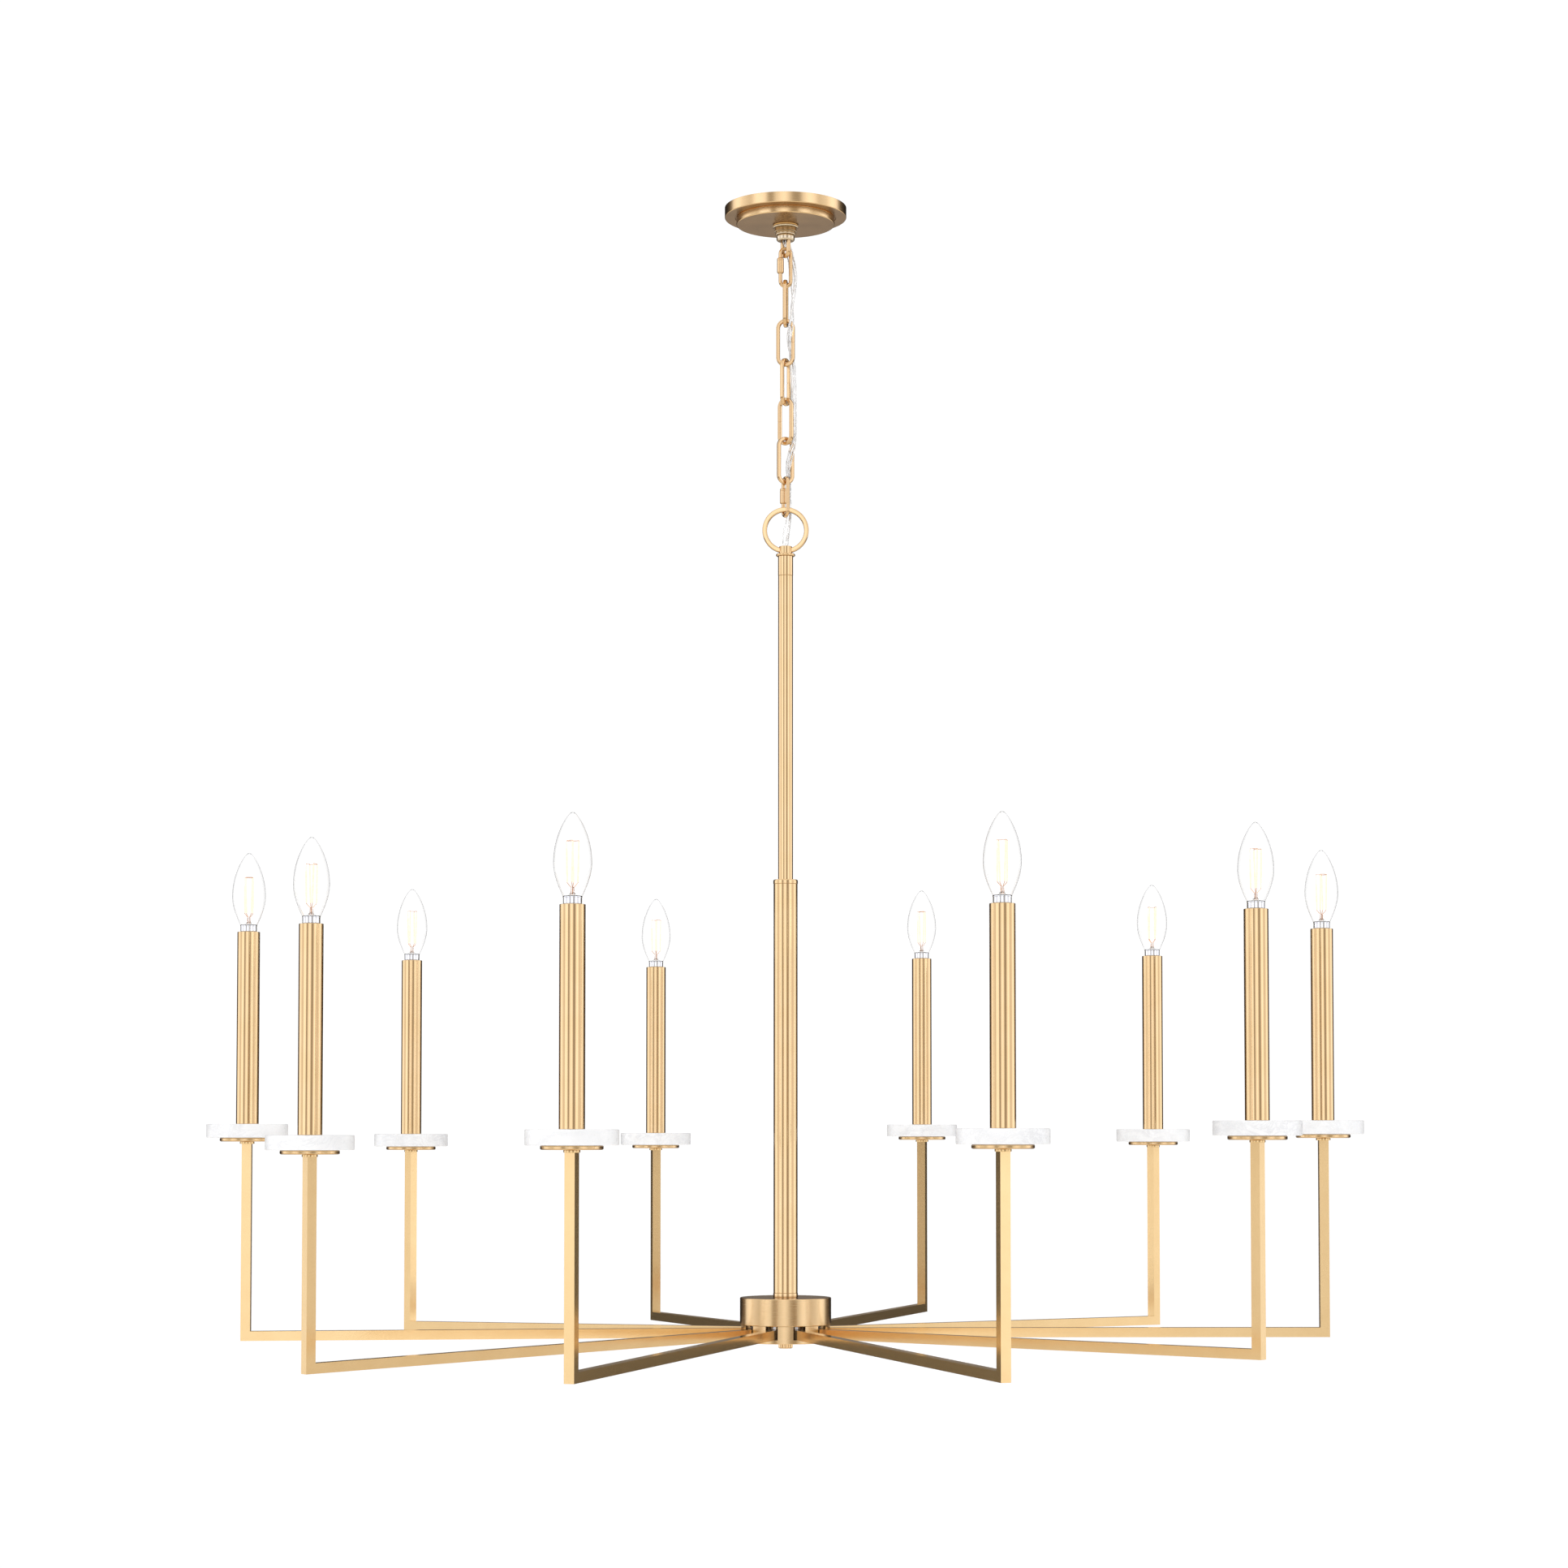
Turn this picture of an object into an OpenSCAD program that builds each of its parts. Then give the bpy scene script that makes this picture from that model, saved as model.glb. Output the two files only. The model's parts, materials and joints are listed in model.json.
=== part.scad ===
// Ten-light chandelier: a ceiling canopy, a short chain, a two-part stem and a
// hub with ten square-tube arms, each carrying a stone disc and a candle lamp.
// Millimetres. The origin is the centre of the canopy's top face, at the ceiling,
// +Z is up, and everything hangs below it. The front is -Y.

/* [Canopy] */
// Diameter of the canopy's rim
canopy_d = 130; // [118:1:150]
// Height of the canopy's outer wall
canopy_rim_h = 11; // [9:0.5:16]
// Diameter of the canopy's lower step
canopy_step_d = 105; // [80:1:110]
// Height of the canopy's lower step
canopy_step_h = 7.5; // [5:0.5:10]
// Spacing of the two ceiling screws
ceiling_screw_spacing = 88.9; // [70:0.1:92]

/* [Chain] */
// Side of the square chain wire
chain_wire = 4; // [3.6:0.1:4.1]
// Outer width of a chain link
link_w = 20; // [20:0.5:22]
// Outer length of a chain link
link_l = 51.3; // [50.4:0.1:52]
// Outer width of a quick link
quick_w = 15; // [15:0.5:16]
// Outer length of a quick link
quick_l = 44.4; // [44:0.1:45]
// Outer diameter of the hanging ring
ring_d = 49.4; // [46:0.2:54]

/* [Stem] */
// Diameter of the upper stem
upper_stem_d = 15.7; // [14:0.1:18]
// Visible length of the upper stem
upper_stem_l = 324; // [150:0.5:500]
// Diameter of the lower stem
lower_stem_d = 25.4; // [22:0.1:30]
// Length of the lower stem
lower_stem_l = 440.5; // [200:0.5:600]

/* [Hub] */
// Diameter of the hub
hub_d = 96; // [95:1:110]
// Height of the closed upper drum
drum_h = 28.5; // [22:0.5:40]
// Thickness of the hub's floor
floor_t = 4.2; // [3:0.1:6]

/* [Arms] */
// Distance from the stem's axis to each candle's axis
arm_reach = 566; // [400:1:620]
// Side of the square arm tube
arm_bar = 10; // [9:0.5:10.5]
// Wall of the arm tube
arm_wall = 1; // [0.8:0.1:1.5]
// Height of the upright part of an arm whose horizontal part is level
arm_rise = 206; // [120:0.5:260]

/* [Candles] */
// Diameter of the stone disc
disc_d = 85; // [60:1:110]
// Thickness of the stone disc
disc_t = 14.3; // [8:0.1:20]
// Diameter of the pan under the disc
pan_d = 57; // [40:1:80]
// Thickness of the pan
pan_t = 4; // [2:0.5:6]
// Diameter of the candle sleeve
sleeve_d = 23.6; // [22:0.2:28]
// Height of the candle sleeve above the disc
sleeve_h = 202; // [80:1:260]
// Largest diameter of the bulb
bulb_d = 35; // [30:1:40]
// Height of the bulb's glass
bulb_h = 76.5; // [60:0.5:90]

/* [Hidden] */
$fn = 48;

brass = [0.86, 0.68, 0.42];
pale_brass = [0.88, 0.84, 0.72];
stone = [0.95, 0.95, 0.94];
clear = [0.92, 0.93, 0.94];
nickel = [0.80, 0.80, 0.78];

// Room between pieces that fit together without turning
fit = 0.1;
// Room between chain parts that hang in each other
hang = 1;
// The ring's thicker bar sits higher in the bottom quick link's arch
ring_hang = 2;

// Canopy, crossbar and the loop screwed through it
canopy_wall = 1.5;
canopy_h = canopy_rim_h + canopy_step_h;
crossbar_l = 112;
crossbar_w = 20;
crossbar_t = 2;
ceiling_slot_l = 14;
ceiling_slot_w = 4.6;
thread_d = 11;
thread_bore = 8;
locknut_d = 17;
locknut_t = 4;
ring_nut_d = [27.6, 24.4, 22];
ring_nut_h = [3.2, 4.4, 3.4];
ring_nut_z = -canopy_h - fit;
loop_boss_d = 19.5;
loop_boss_h = 6;
loop_boss_z = ring_nut_z - ring_nut_h[0] - ring_nut_h[1] - ring_nut_h[2] - fit;
loop_w = 15.4;
loop_bar_z = -51.9;

// Heights of the bars on which each chain part hangs, and how far each part is
// turned about the vertical from facing the front
quick_rod = 4;
quick_sleeve_d = 7.3;
quick_sleeve_l = 16.4;
// How far each quick link's sleeve sits above the middle: top, bottom
quick_sleeve_up = [2, 1.7];
quick_seat = 7.8;
link_step = link_l - 2 * chain_wire - hang;
top_quick_z = loop_bar_z + quick_seat - quick_l / 2 + quick_rod / 2;
top_quick_bar_z = top_quick_z - quick_l / 2 + quick_rod / 2;
first_link_z = top_quick_bar_z + chain_wire + hang - link_l / 2 + chain_wire / 2;
function link_z(i) = first_link_z - (i - 1) * link_step;
last_link_bar_z = link_z(5) - link_l / 2 + chain_wire / 2;
bottom_quick_z = last_link_bar_z + chain_wire + hang - quick_l / 2 + quick_rod / 2;
bottom_quick_bar_z = bottom_quick_z - quick_l / 2 + quick_rod / 2;
loop_turn = -58;
top_quick_turn = 5;
link_turns = [83, -7, 63, -40, 28];
bottom_quick_turn = -64;
// Which side of each link its butt joint is on, seen from the front
link_seams = [1, 1, 1, -1, 1];
wire_chamfer = 0.7;

// Ring, neck and stem
ring_bar = 5;
ring_chamfer = 1.3;
ring_z = bottom_quick_bar_z + quick_rod / 2 + ring_hang + ring_bar - ring_d / 2;
neck_d = 13.6;
neck_z = ring_z - ring_d / 2 - 0.7;
neck_rise = 8;
flange_d = 20.5;
flange_t = 2.5;
spigot_d = 10;
spigot_l = 14;
cord_bore = 8;
coupler_d = 16;
coupler_l = 20.8;
coupler_z = neck_z - flange_t;
stem_wall = 1.2;
stem_insert = 24;
upper_stem_z = coupler_z - coupler_l - fit;
lower_stem_z = upper_stem_z - upper_stem_l;
end_ring_d = lower_stem_d + 0.6;
end_ring_h = 4.5;
rod_d = 9.6;
rod_bore = 6;

// Hub
drum_z = lower_stem_z - lower_stem_l;
drum_wall = 1.8;
base_z = drum_z - drum_h - fit;
pivot_r = 35;
base_h = 18.2;
floor_z = base_z - base_h + floor_t;
base_rim_r = hub_d / 2 - 0.8;
base_rim_t = 6;
slot_w = 13.2;
screw_d = 4;
screw_head_d = 7.5;
screw_head_h = 3;
washer_d = 8.5;
wire_hole_d = 30;
finial_d = 15.2;
finial_h = 6.8;
finial_end_t = 1.9;
// Length of the finial's hollow rod inside the stem's foot
rod_in_stem = 30;
// How deep the pivot screws go into the hub's floor
screw_in_floor = 2.4;
washer_clear = 0.4;

// Arms: one about every 36 degrees, each hand-set on its pivot and most hanging a
// little below level. Numbers run anticlockwise from above, from the front.
arm_count = 10;
arm_swivels = [2.3, -1.5, -1.0, 5.1, 1.0, -1.9, -3.9, 1.6, 0.7, -1.9];
arm_droops = [0.8, 0, -0.1, 0.9, 0.3, 1.4, 1.5, 0.3, 1.5, 0.9];
arm_tail = 7;
arm_l = arm_reach - pivot_r;
arm_under_floor = 0.6;
arm_bottom_z = floor_z + arm_under_floor;
function droop_drop(i) = arm_l * tan(arm_droops[i - 1]);
function arm_top_z(i) = arm_bottom_z - droop_drop(i) + arm_rise;
collar_d = 15.3;
collar_h = 2.5;
nipple_d = 7.6;
nipple_in_arm = 4;

// Candle
sleeve_wall = 1.2;
socket_d = 19;
socket_l = 32;
socket_top_gap = 1.5;
base_d = 11.7;
base_l = 20;
cap_d = 17.6;
cap_h = 7;
glass_t = 0.8;
bulb_widest = 0.4;
bulb_points = 14;
// Lower makes the bulb's tip blunter
bulb_tip = 0.65;

// Cords: each route runs from the canopy loop's bore, through the chain, to the
// hanging ring's neck, as [x, y, z]
cord_d = 5;
cord_route = [
  [1.2, 0.3, -31], [1.2, 0.6, -36], [4.8, 4.7, -44], [7.2, 5.2, -53],
  [9.0, 3.9, -62], [10.3, 2.0, -72], [10.0, -0.1, -84], [8.3, -2.3, -97.1],
  [6.8, -4.4, -109.3], [5.4, -6.1, -121.4], [3.4, -4.0, -132.5], [2.8, 0.4, -144.6],
  [5.5, 3.8, -156.7], [8.8, 4.3, -167.8], [9.4, 3.2, -178.9], [9.8, 2.2, -192],
  [9.9, 1.3, -205.2], [9.9, 0.5, -218.3], [9.8, -0.1, -231.4], [9.6, -0.7, -242.5],
  [8.9, -1.4, -252.6], [4.9, -1.1, -263.7], [2.0, 2.1, -274.8], [2.2, 6.1, -284.9],
  [4.0, 8.4, -294.9], [4.7, 7.8, -306], [5.0, 6.9, -317], [5.2, 5.8, -327],
  [4.4, 3.6, -338], [3.2, 2.0, -348], [2.0, 0.9, -358], [1.1, 0.3, -366],
  [1.0, 0.2, -378],
];
wire_d = 1.6;
wire_route = [
  [-2.8, 0.9, -31], [-2.4, 1.0, -36], [0.4, 3.3, -44], [2.3, 3.8, -53],
  [3.7, 3.8, -62], [5.1, 3.9, -72], [6.2, 3.4, -84], [7.0, 1.4, -97.1],
  [7.6, -0.7, -109.3], [8.3, -3.6, -121.4], [7.2, -4.6, -132.5], [4.8, -2.8, -144.6],
  [4.4, 0.0, -156.7], [5.3, 2.9, -167.8], [5.6, 3.3, -178.9], [6.3, 3.6, -192],
  [7.1, 3.8, -205.2], [7.9, 3.8, -218.3], [8.6, 3.5, -231.4], [9.3, 3.1, -242.5],
  [10.1, 2.2, -252.6], [8.6, 0.5, -263.7], [5.8, 0.4, -274.8], [3.4, 2.3, -284.9],
  [2.2, 5.1, -294.9], [2.9, 4.5, -306], [2.3, 4.2, -317], [2.0, 4.2, -327],
  [0.4, 2.5, -338], [-1.9, 1.0, -348], [-2.8, 0.2, -358], [-2.8, -0.2, -366],
  [-2.8, -0.2, -378],
];

// ---------- Shared shapes ----------

// A tube or ring about the vertical, hanging down from z = 0
module ring_down(outer_d, inner_d, h) {
  translate([0, 0, -h])
    difference() {
      cylinder(d = outer_d, h = h);
      translate([0, 0, -1])
        cylinder(d = inner_d, h = h + 2);
    }
}

// A turned disc with softened edges, hanging down from z = 0
module turned_disc(d, h, edge, bore) {
  r = d / 2;
  rotate_extrude()
    polygon([
      [bore / 2, 0], [r - edge, 0], [r, -edge],
      [r, edge - h], [r - edge, -h], [bore / 2, -h],
    ]);
}

// Section of the square wire, with its corners taken off
module square_wire_section(side, c) {
  h = side / 2;
  polygon([
    [-h, c - h], [c - h, -h], [h - c, -h], [h, c - h],
    [h, h - c], [h - c, h], [c - h, h], [-h, h - c],
  ]);
}

// Half of a ring in the X-Z plane, bulging upward, with the given section
module half_ring(mid_r) {
  rotate([90, 0, 0])
    rotate_extrude(angle = 180)
      translate([mid_r, 0])
        children();
}

// A closed oval of wire standing upright about the origin
module oval_link(w, l, wire) {
  mid_r = (w - wire) / 2;
  straight = l - w;
  for (end = [0, 180])
    rotate([0, end, 0])
      translate([0, 0, straight / 2])
        half_ring(mid_r)
          children();
  for (side = [-1, 1])
    translate([side * mid_r, 0, -straight / 2])
      linear_extrude(straight)
        children();
}

// A point at share t of stretch i of a route, on a smooth curve through its points
function curve_point(p, i, t) =
  let (
    n = len(p),
    a = p[max(i - 1, 0)],
    b = p[i],
    c = p[min(i + 1, n - 1)],
    d = p[min(i + 2, n - 1)]
  )
  0.5 * (2 * b + (c - a) * t + (2 * a - 5 * b + 4 * c - d) * t * t
    + (3 * b - a - 3 * c + d) * t * t * t);

// A round cord along a route, with two level rings to each stretch
module cord_tube(route, d) {
  sides = 8;
  line = [
    for (i = [0:len(route) - 2], t = [0, 0.5]) curve_point(route, i, t),
    route[len(route) - 1],
  ];
  n = len(line);
  points = [
    for (p = line, k = [0:sides - 1])
      p + d / 2 * [cos(360 * k / sides), sin(360 * k / sides), 0],
  ];
  walls = [
    for (i = [0:n - 2], k = [0:sides - 1])
      let (a = i * sides + k, b = i * sides + (k + 1) % sides)
      each [[a, b, b + sides], [a, b + sides, a + sides]],
  ];
  start = [[for (k = [sides - 1:-1:0]) k]];
  end = [[for (k = [0:sides - 1]) (n - 1) * sides + k]];
  polyhedron(points = points, faces = concat(walls, start, end), convexity = 8);
}

// ---------- Canopy ----------

module canopy() {
  r = canopy_d / 2;
  s = canopy_step_d / 2;
  w = canopy_wall;
  edge = 1;
  color(brass)
    rotate_extrude($fn = 96)
      polygon([
        [r, 0], [r, edge - canopy_rim_h], [r - edge, -canopy_rim_h],
        [s, -canopy_rim_h], [s, edge - canopy_h], [s - edge, -canopy_h],
        [(thread_d + fit) / 2, -canopy_h], [(thread_d + fit) / 2, w - canopy_h],
        [s - w, w - canopy_h], [s - w, w - canopy_rim_h],
        [r - w, w - canopy_rim_h], [r - w, 0],
      ]);
}

// The strap that the two ceiling screws hold, and the locknut under it
module ceiling_crossbar() {
  color(nickel) {
    difference() {
      translate([-crossbar_l / 2, -crossbar_w / 2, -crossbar_t])
        cube([crossbar_l, crossbar_w, crossbar_t]);
      translate([0, 0, -crossbar_t - 1])
        cylinder(d = thread_d + fit, h = crossbar_t + 2);
      for (side = [-1, 1])
        translate([side * ceiling_screw_spacing / 2, 0, -crossbar_t - 1])
          slot_hole(ceiling_slot_l, ceiling_slot_w, crossbar_t + 2);
    }
    translate([0, 0, -crossbar_t - locknut_t - fit])
      difference() {
        cylinder(d = locknut_d, h = locknut_t, $fn = 6);
        translate([0, 0, -1])
          cylinder(d = thread_d + fit, h = locknut_t + 2);
      }
  }
}

module slot_hole(l, w, h) {
  for (side = [-1, 1])
    translate([side * (l - w) / 2, 0, 0])
      cylinder(d = w, h = h);
  translate([(w - l) / 2, -w / 2, 0])
    cube([l - w, w, h]);
}

// The threaded collar that holds the canopy up: a flange over two stepped rings
module canopy_ring_nut() {
  bore = thread_d + fit;
  z1 = ring_nut_z - ring_nut_h[0];
  z2 = z1 - ring_nut_h[1];
  color(pale_brass) {
    translate([0, 0, ring_nut_z])
      turned_disc(ring_nut_d[0], ring_nut_h[0], 0.8, bore);
    translate([0, 0, z1])
      turned_disc(ring_nut_d[1], ring_nut_h[1], 1.2, bore);
    translate([0, 0, z2])
      turned_disc(ring_nut_d[2], ring_nut_h[2], 0.6, bore);
  }
}

// The loop's hollow thread runs up through the nut, the canopy and the crossbar
module canopy_loop() {
  mid_r = (loop_w - chain_wire) / 2;
  leg_top = loop_boss_z - loop_boss_h + 1;
  leg_end = loop_bar_z + mid_r;
  color(pale_brass)
    difference() {
      union() {
        translate([0, 0, loop_boss_z])
          turned_disc(loop_boss_d, loop_boss_h, 0.8, thread_bore);
        translate([0, 0, loop_boss_z - 1])
          cylinder(d = thread_d, h = -loop_boss_z);
        rotate([0, 0, loop_turn]) {
          translate([0, 0, leg_end])
            rotate([0, 180, 0])
              half_ring(mid_r)
                square_wire_section(chain_wire, wire_chamfer);
          for (side = [-1, 1])
            translate([side * mid_r, 0, leg_end])
              linear_extrude(leg_top - leg_end)
                square_wire_section(chain_wire, wire_chamfer);
        }
      }
      translate([0, 0, loop_boss_z - loop_boss_h - 1])
        cylinder(d = thread_bore, h = loop_boss_h + 1 - loop_boss_z + 1);
    }
}

// ---------- Chain ----------

// An oval of round rod with a screw sleeve over the gap in one side
module quick_link(z, turn, sleeve_up) {
  color(brass)
    translate([0, 0, z])
      rotate([0, 0, turn]) {
        oval_link(quick_w, quick_l, quick_rod)
          circle(d = quick_rod);
        translate([-(quick_w - quick_rod) / 2, 0, sleeve_up + quick_sleeve_l / 2])
          turned_disc(quick_sleeve_d, quick_sleeve_l, 0.5, quick_rod + fit);
      }
}

module top_quick_link() {
  quick_link(top_quick_z, top_quick_turn, quick_sleeve_up[0]);
}

module bottom_quick_link() {
  quick_link(bottom_quick_z, bottom_quick_turn, quick_sleeve_up[1]);
}

// A square-wire link whose butt joint shows as a fine groove in one side
module chain_link(i) {
  groove_w = 0.4;
  groove_depth = 0.35;
  mid = (link_w - chain_wire) / 2;
  color(brass)
    translate([0, 0, link_z(i)])
      rotate([0, 0, link_turns[i - 1]])
        difference() {
          oval_link(link_w, link_l, chain_wire)
            square_wire_section(chain_wire, wire_chamfer);
          translate([link_seams[i - 1] * mid, 0, 0])
            difference() {
              cube([chain_wire + 1, chain_wire + 1, groove_w], center = true);
              cube([chain_wire - 2 * groove_depth, chain_wire - 2 * groove_depth, 1],
                center = true);
            }
        }
}

module power_cord() {
  color(clear)
    cord_tube(cord_route, cord_d);
}

module ground_wire() {
  color(clear)
    cord_tube(wire_route, wire_d);
}

// ---------- Stem ----------

// The ring is brazed through a hollow neck, whose spigot screws into the coupler
module hanging_ring() {
  mid_r = (ring_d - ring_bar) / 2;
  color(brass)
    difference() {
      union() {
        translate([0, 0, ring_z])
          rotate([90, 0, 0])
            rotate_extrude($fn = 96)
              translate([mid_r, 0])
                square_wire_section(ring_bar, ring_chamfer);
        translate([0, 0, neck_z])
          cylinder(d = neck_d, h = neck_rise);
        translate([0, 0, neck_z])
          turned_disc(flange_d, flange_t, 0.6, cord_bore);
        translate([0, 0, coupler_z - spigot_l])
          cylinder(d = spigot_d, h = spigot_l + 1);
      }
      translate([0, 0, coupler_z - spigot_l - 1])
        cylinder(d = cord_bore, h = spigot_l + flange_t + neck_rise + 3);
    }
}

// The coupler is a solid of its own, on top of the tube
module upper_stem() {
  color(brass) {
    translate([0, 0, coupler_z - fit])
      turned_disc(coupler_d, coupler_l - fit, 0.3, spigot_d + fit);
    translate([0, 0, upper_stem_z])
      ring_down(upper_stem_d, upper_stem_d - 2 * stem_wall, upper_stem_l + stem_insert);
  }
}

// The tube, a collar that closes its top round the upper stem, and one at its foot
module lower_stem() {
  tube_z = lower_stem_z - end_ring_h - fit;
  tube_l = lower_stem_l - 2 * (end_ring_h + fit);
  color(brass) {
    translate([0, 0, lower_stem_z])
      turned_disc(end_ring_d, end_ring_h, 0.4, upper_stem_d + fit);
    translate([0, 0, tube_z])
      ring_down(lower_stem_d, lower_stem_d - 2 * stem_wall, tube_l);
    translate([0, 0, tube_z - tube_l - fit])
      turned_disc(end_ring_d, end_ring_h, 0.4, rod_d + fit);
  }
}

// ---------- Hub ----------

// A closed drum: its floor ring carries the pivot screws and lets the wires down
module hub_drum() {
  r = hub_d / 2;
  w = drum_wall;
  edge = 0.8;
  color(brass)
    difference() {
      translate([0, 0, drum_z])
        rotate_extrude($fn = 96)
          polygon([
            [(rod_d + fit) / 2, -fit], [r - edge, -fit], [r, -edge - fit],
            [r, edge - drum_h], [r - edge, -drum_h],
            [wire_hole_d / 2, -drum_h], [wire_hole_d / 2, w - drum_h],
            [r - w, w - drum_h], [r - w, -w], [(rod_d + fit) / 2, -w],
          ]);
      each_pivot()
        translate([0, 0, drum_z - drum_h - 1])
          cylinder(d = screw_d + fit, h = w + 2);
    }
}

// Places its children at each pivot, turned to face outward
module each_pivot() {
  for (i = [1:arm_count])
    rotate([0, 0, arm_azimuth(i)])
      translate([0, -pivot_r, 0])
        children();
}

function arm_azimuth(i) = 360 / arm_count * (i - 0.5);

// A thick floor with an upstanding rim, slotted to let each arm through
module hub_base() {
  slot_from = pivot_r + 2;
  color(brass)
    difference() {
      translate([0, 0, base_z])
        rotate_extrude($fn = 96)
          polygon([
            [(rod_d + fit) / 2, floor_t - base_h], [base_rim_r - base_rim_t, floor_t - base_h],
            [base_rim_r - base_rim_t, 0], [base_rim_r, 0],
            [base_rim_r, 0.6 - base_h], [base_rim_r - 0.6, -base_h],
            [(rod_d + fit) / 2, -base_h],
          ]);
      for (i = [1:arm_count])
        rotate([0, 0, arm_azimuth(i)])
          translate([-slot_w / 2, -hub_d, floor_z])
            cube([slot_w, hub_d - slot_from, base_h]);
      each_pivot()
        translate([0, 0, floor_z - screw_in_floor - fit])
          cylinder(d = screw_d + fit, h = base_h);
    }
}

// Ten screws from inside the drum, each through a washer and an arm into the floor
module pivot_screws() {
  head_z = drum_z - drum_h + drum_wall + fit;
  arm_top = arm_bottom_z + arm_bar + washer_clear;
  color(nickel)
    each_pivot() {
      translate([0, 0, head_z])
        cylinder(d = screw_head_d, h = screw_head_h);
      translate([0, 0, floor_z - screw_in_floor])
        cylinder(d = screw_d, h = head_z - floor_z + screw_in_floor + fit);
      translate([0, 0, base_z])
        ring_down(washer_d, screw_d + fit, base_z - arm_top);
    }
}

// The knurled nut under the hub, on the hollow rod that draws the hub together
module finial() {
  rod_top = drum_z + rod_in_stem;
  rod_end = base_z - base_h - finial_h + finial_end_t + fit;
  nut_z = base_z - base_h - fit;
  color(brass) {
    translate([0, 0, rod_top])
      ring_down(rod_d, rod_bore, rod_top - rod_end);
    difference() {
      translate([0, 0, nut_z])
        turned_disc(finial_d, finial_h, 0.6, 0);
      translate([0, 0, rod_end - fit])
        cylinder(d = rod_d + fit, h = nut_z - rod_end + 1);
    }
  }
}

// ---------- Arms ----------

// Puts its children at an arm's pivot, with X outward along the arm and Y across it
module at_arm(i) {
  rotate([0, 0, arm_azimuth(i)])
    translate([0, -pivot_r, 0])
      rotate([0, 0, arm_swivels[i - 1] - 90])
        children();
}

// Outline of a bent bar in the X-Z plane: a drooping run and a level-topped upright
module arm_outline(i, inset) {
  slope = tan(arm_droops[i - 1]);
  low = arm_bottom_z + inset;
  high = arm_bottom_z + arm_bar - inset;
  inner = arm_l - arm_bar / 2 + inset;
  outer = arm_l + arm_bar / 2 - inset;
  end = inset > 0 ? 1 : 0;
  polygon([
    [-arm_tail - end, low], [0, low], [outer, low - slope * outer],
    [outer, arm_top_z(i) + end], [inner, arm_top_z(i) + end],
    [inner, high - slope * inner], [0, high], [-arm_tail - end, high],
  ]);
}

module arm(i) {
  color(brass)
    at_arm(i)
      difference() {
        union() {
          rotate([90, 0, 0])
            translate([0, 0, -arm_bar / 2])
              linear_extrude(arm_bar)
                arm_outline(i, 0);
          translate([arm_l, 0, arm_top_z(i) + collar_h])
            turned_disc(collar_d, collar_h, 0.4, nipple_d + fit);
        }
        rotate([90, 0, 0])
          translate([0, 0, arm_wall - arm_bar / 2])
            linear_extrude(arm_bar - 2 * arm_wall)
              arm_outline(i, arm_wall);
        translate([0, 0, arm_bottom_z - 1])
          cylinder(d = screw_d + fit, h = arm_bar + 2);
      }
}

// ---------- Candles ----------

module at_candle(i) {
  at_arm(i)
    translate([arm_l, 0, arm_top_z(i) + collar_h])
      children();
}

// Pan, nipple, sleeve and lamp socket, each a solid of its own
module candle(i) {
  disc_z = pan_t + disc_t + 2 * fit;
  top_z = disc_z + sleeve_h;
  socket_z = top_z - socket_top_gap - socket_l;
  at_candle(i) {
    color(brass)
      translate([0, 0, pan_t + fit])
        turned_disc(pan_d, pan_t, 0.6, nipple_d + fit);
    color(brass)
      translate([0, 0, top_z])
        ring_down(sleeve_d, sleeve_d - 2 * sleeve_wall, sleeve_h);
    color(nickel)
      translate([0, 0, socket_z - fit])
        ring_down(nipple_d, nipple_d - 2, socket_z + nipple_in_arm);
    color(stone)
      difference() {
        translate([0, 0, socket_z])
          cylinder(d = socket_d, h = socket_l);
        translate([0, 0, socket_z + socket_l - base_l])
          cylinder(d = base_d + 2 * fit, h = base_l + 1);
      }
  }
}

module disc(i) {
  color(stone)
    at_candle(i)
      translate([0, 0, pan_t + disc_t + fit])
        rotate_extrude($fn = 72)
          polygon([
            [nipple_d / 2 + 1, 0], [disc_d / 2 - 1, 0], [disc_d / 2, -1],
            [disc_d / 2, 1 - disc_t], [disc_d / 2 - 1, -disc_t],
            [nipple_d / 2 + 1, -disc_t],
          ]);
}

// Radius of the glass at a share of its height: a rounded foot and a long pointed tip
function glass_r(share) =
  share < bulb_widest
    ? cap_d / 2 + (bulb_d - cap_d) / 2 * sin(90 * share / bulb_widest)
    : bulb_d / 2 * pow(cos(90 * (share - bulb_widest) / (1 - bulb_widest)), bulb_tip);

// A thin glass candle on its metal cap, whose thread goes down into the socket
module bulb(i) {
  disc_z = pan_t + disc_t + 2 * fit;
  top_z = disc_z + sleeve_h;
  outer = [
    for (k = [0:bulb_points - 1])
      [glass_r(k / bulb_points), bulb_h * k / bulb_points],
    [0.8, bulb_h - 0.2],
    [0, bulb_h],
  ];
  color(clear)
    at_candle(i)
      translate([0, 0, top_z]) {
        translate([0, 0, cap_h + fit])
          difference() {
            rotate_extrude()
              polygon(concat([[0, 0]], outer));
            translate([0, 0, glass_t])
              rotate_extrude()
                polygon(concat([[0, 0]], [for (p = outer)
                  [max(p.x - glass_t, 0), p.y * (1 - 2.2 * glass_t / bulb_h)]]));
          }
        translate([0, 0, fit])
          cylinder(d = cap_d, h = cap_h - fit);
        translate([0, 0, fit - base_l])
          cylinder(d = base_d, h = base_l);
      }
}

// ---------- Assembly ----------

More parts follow.
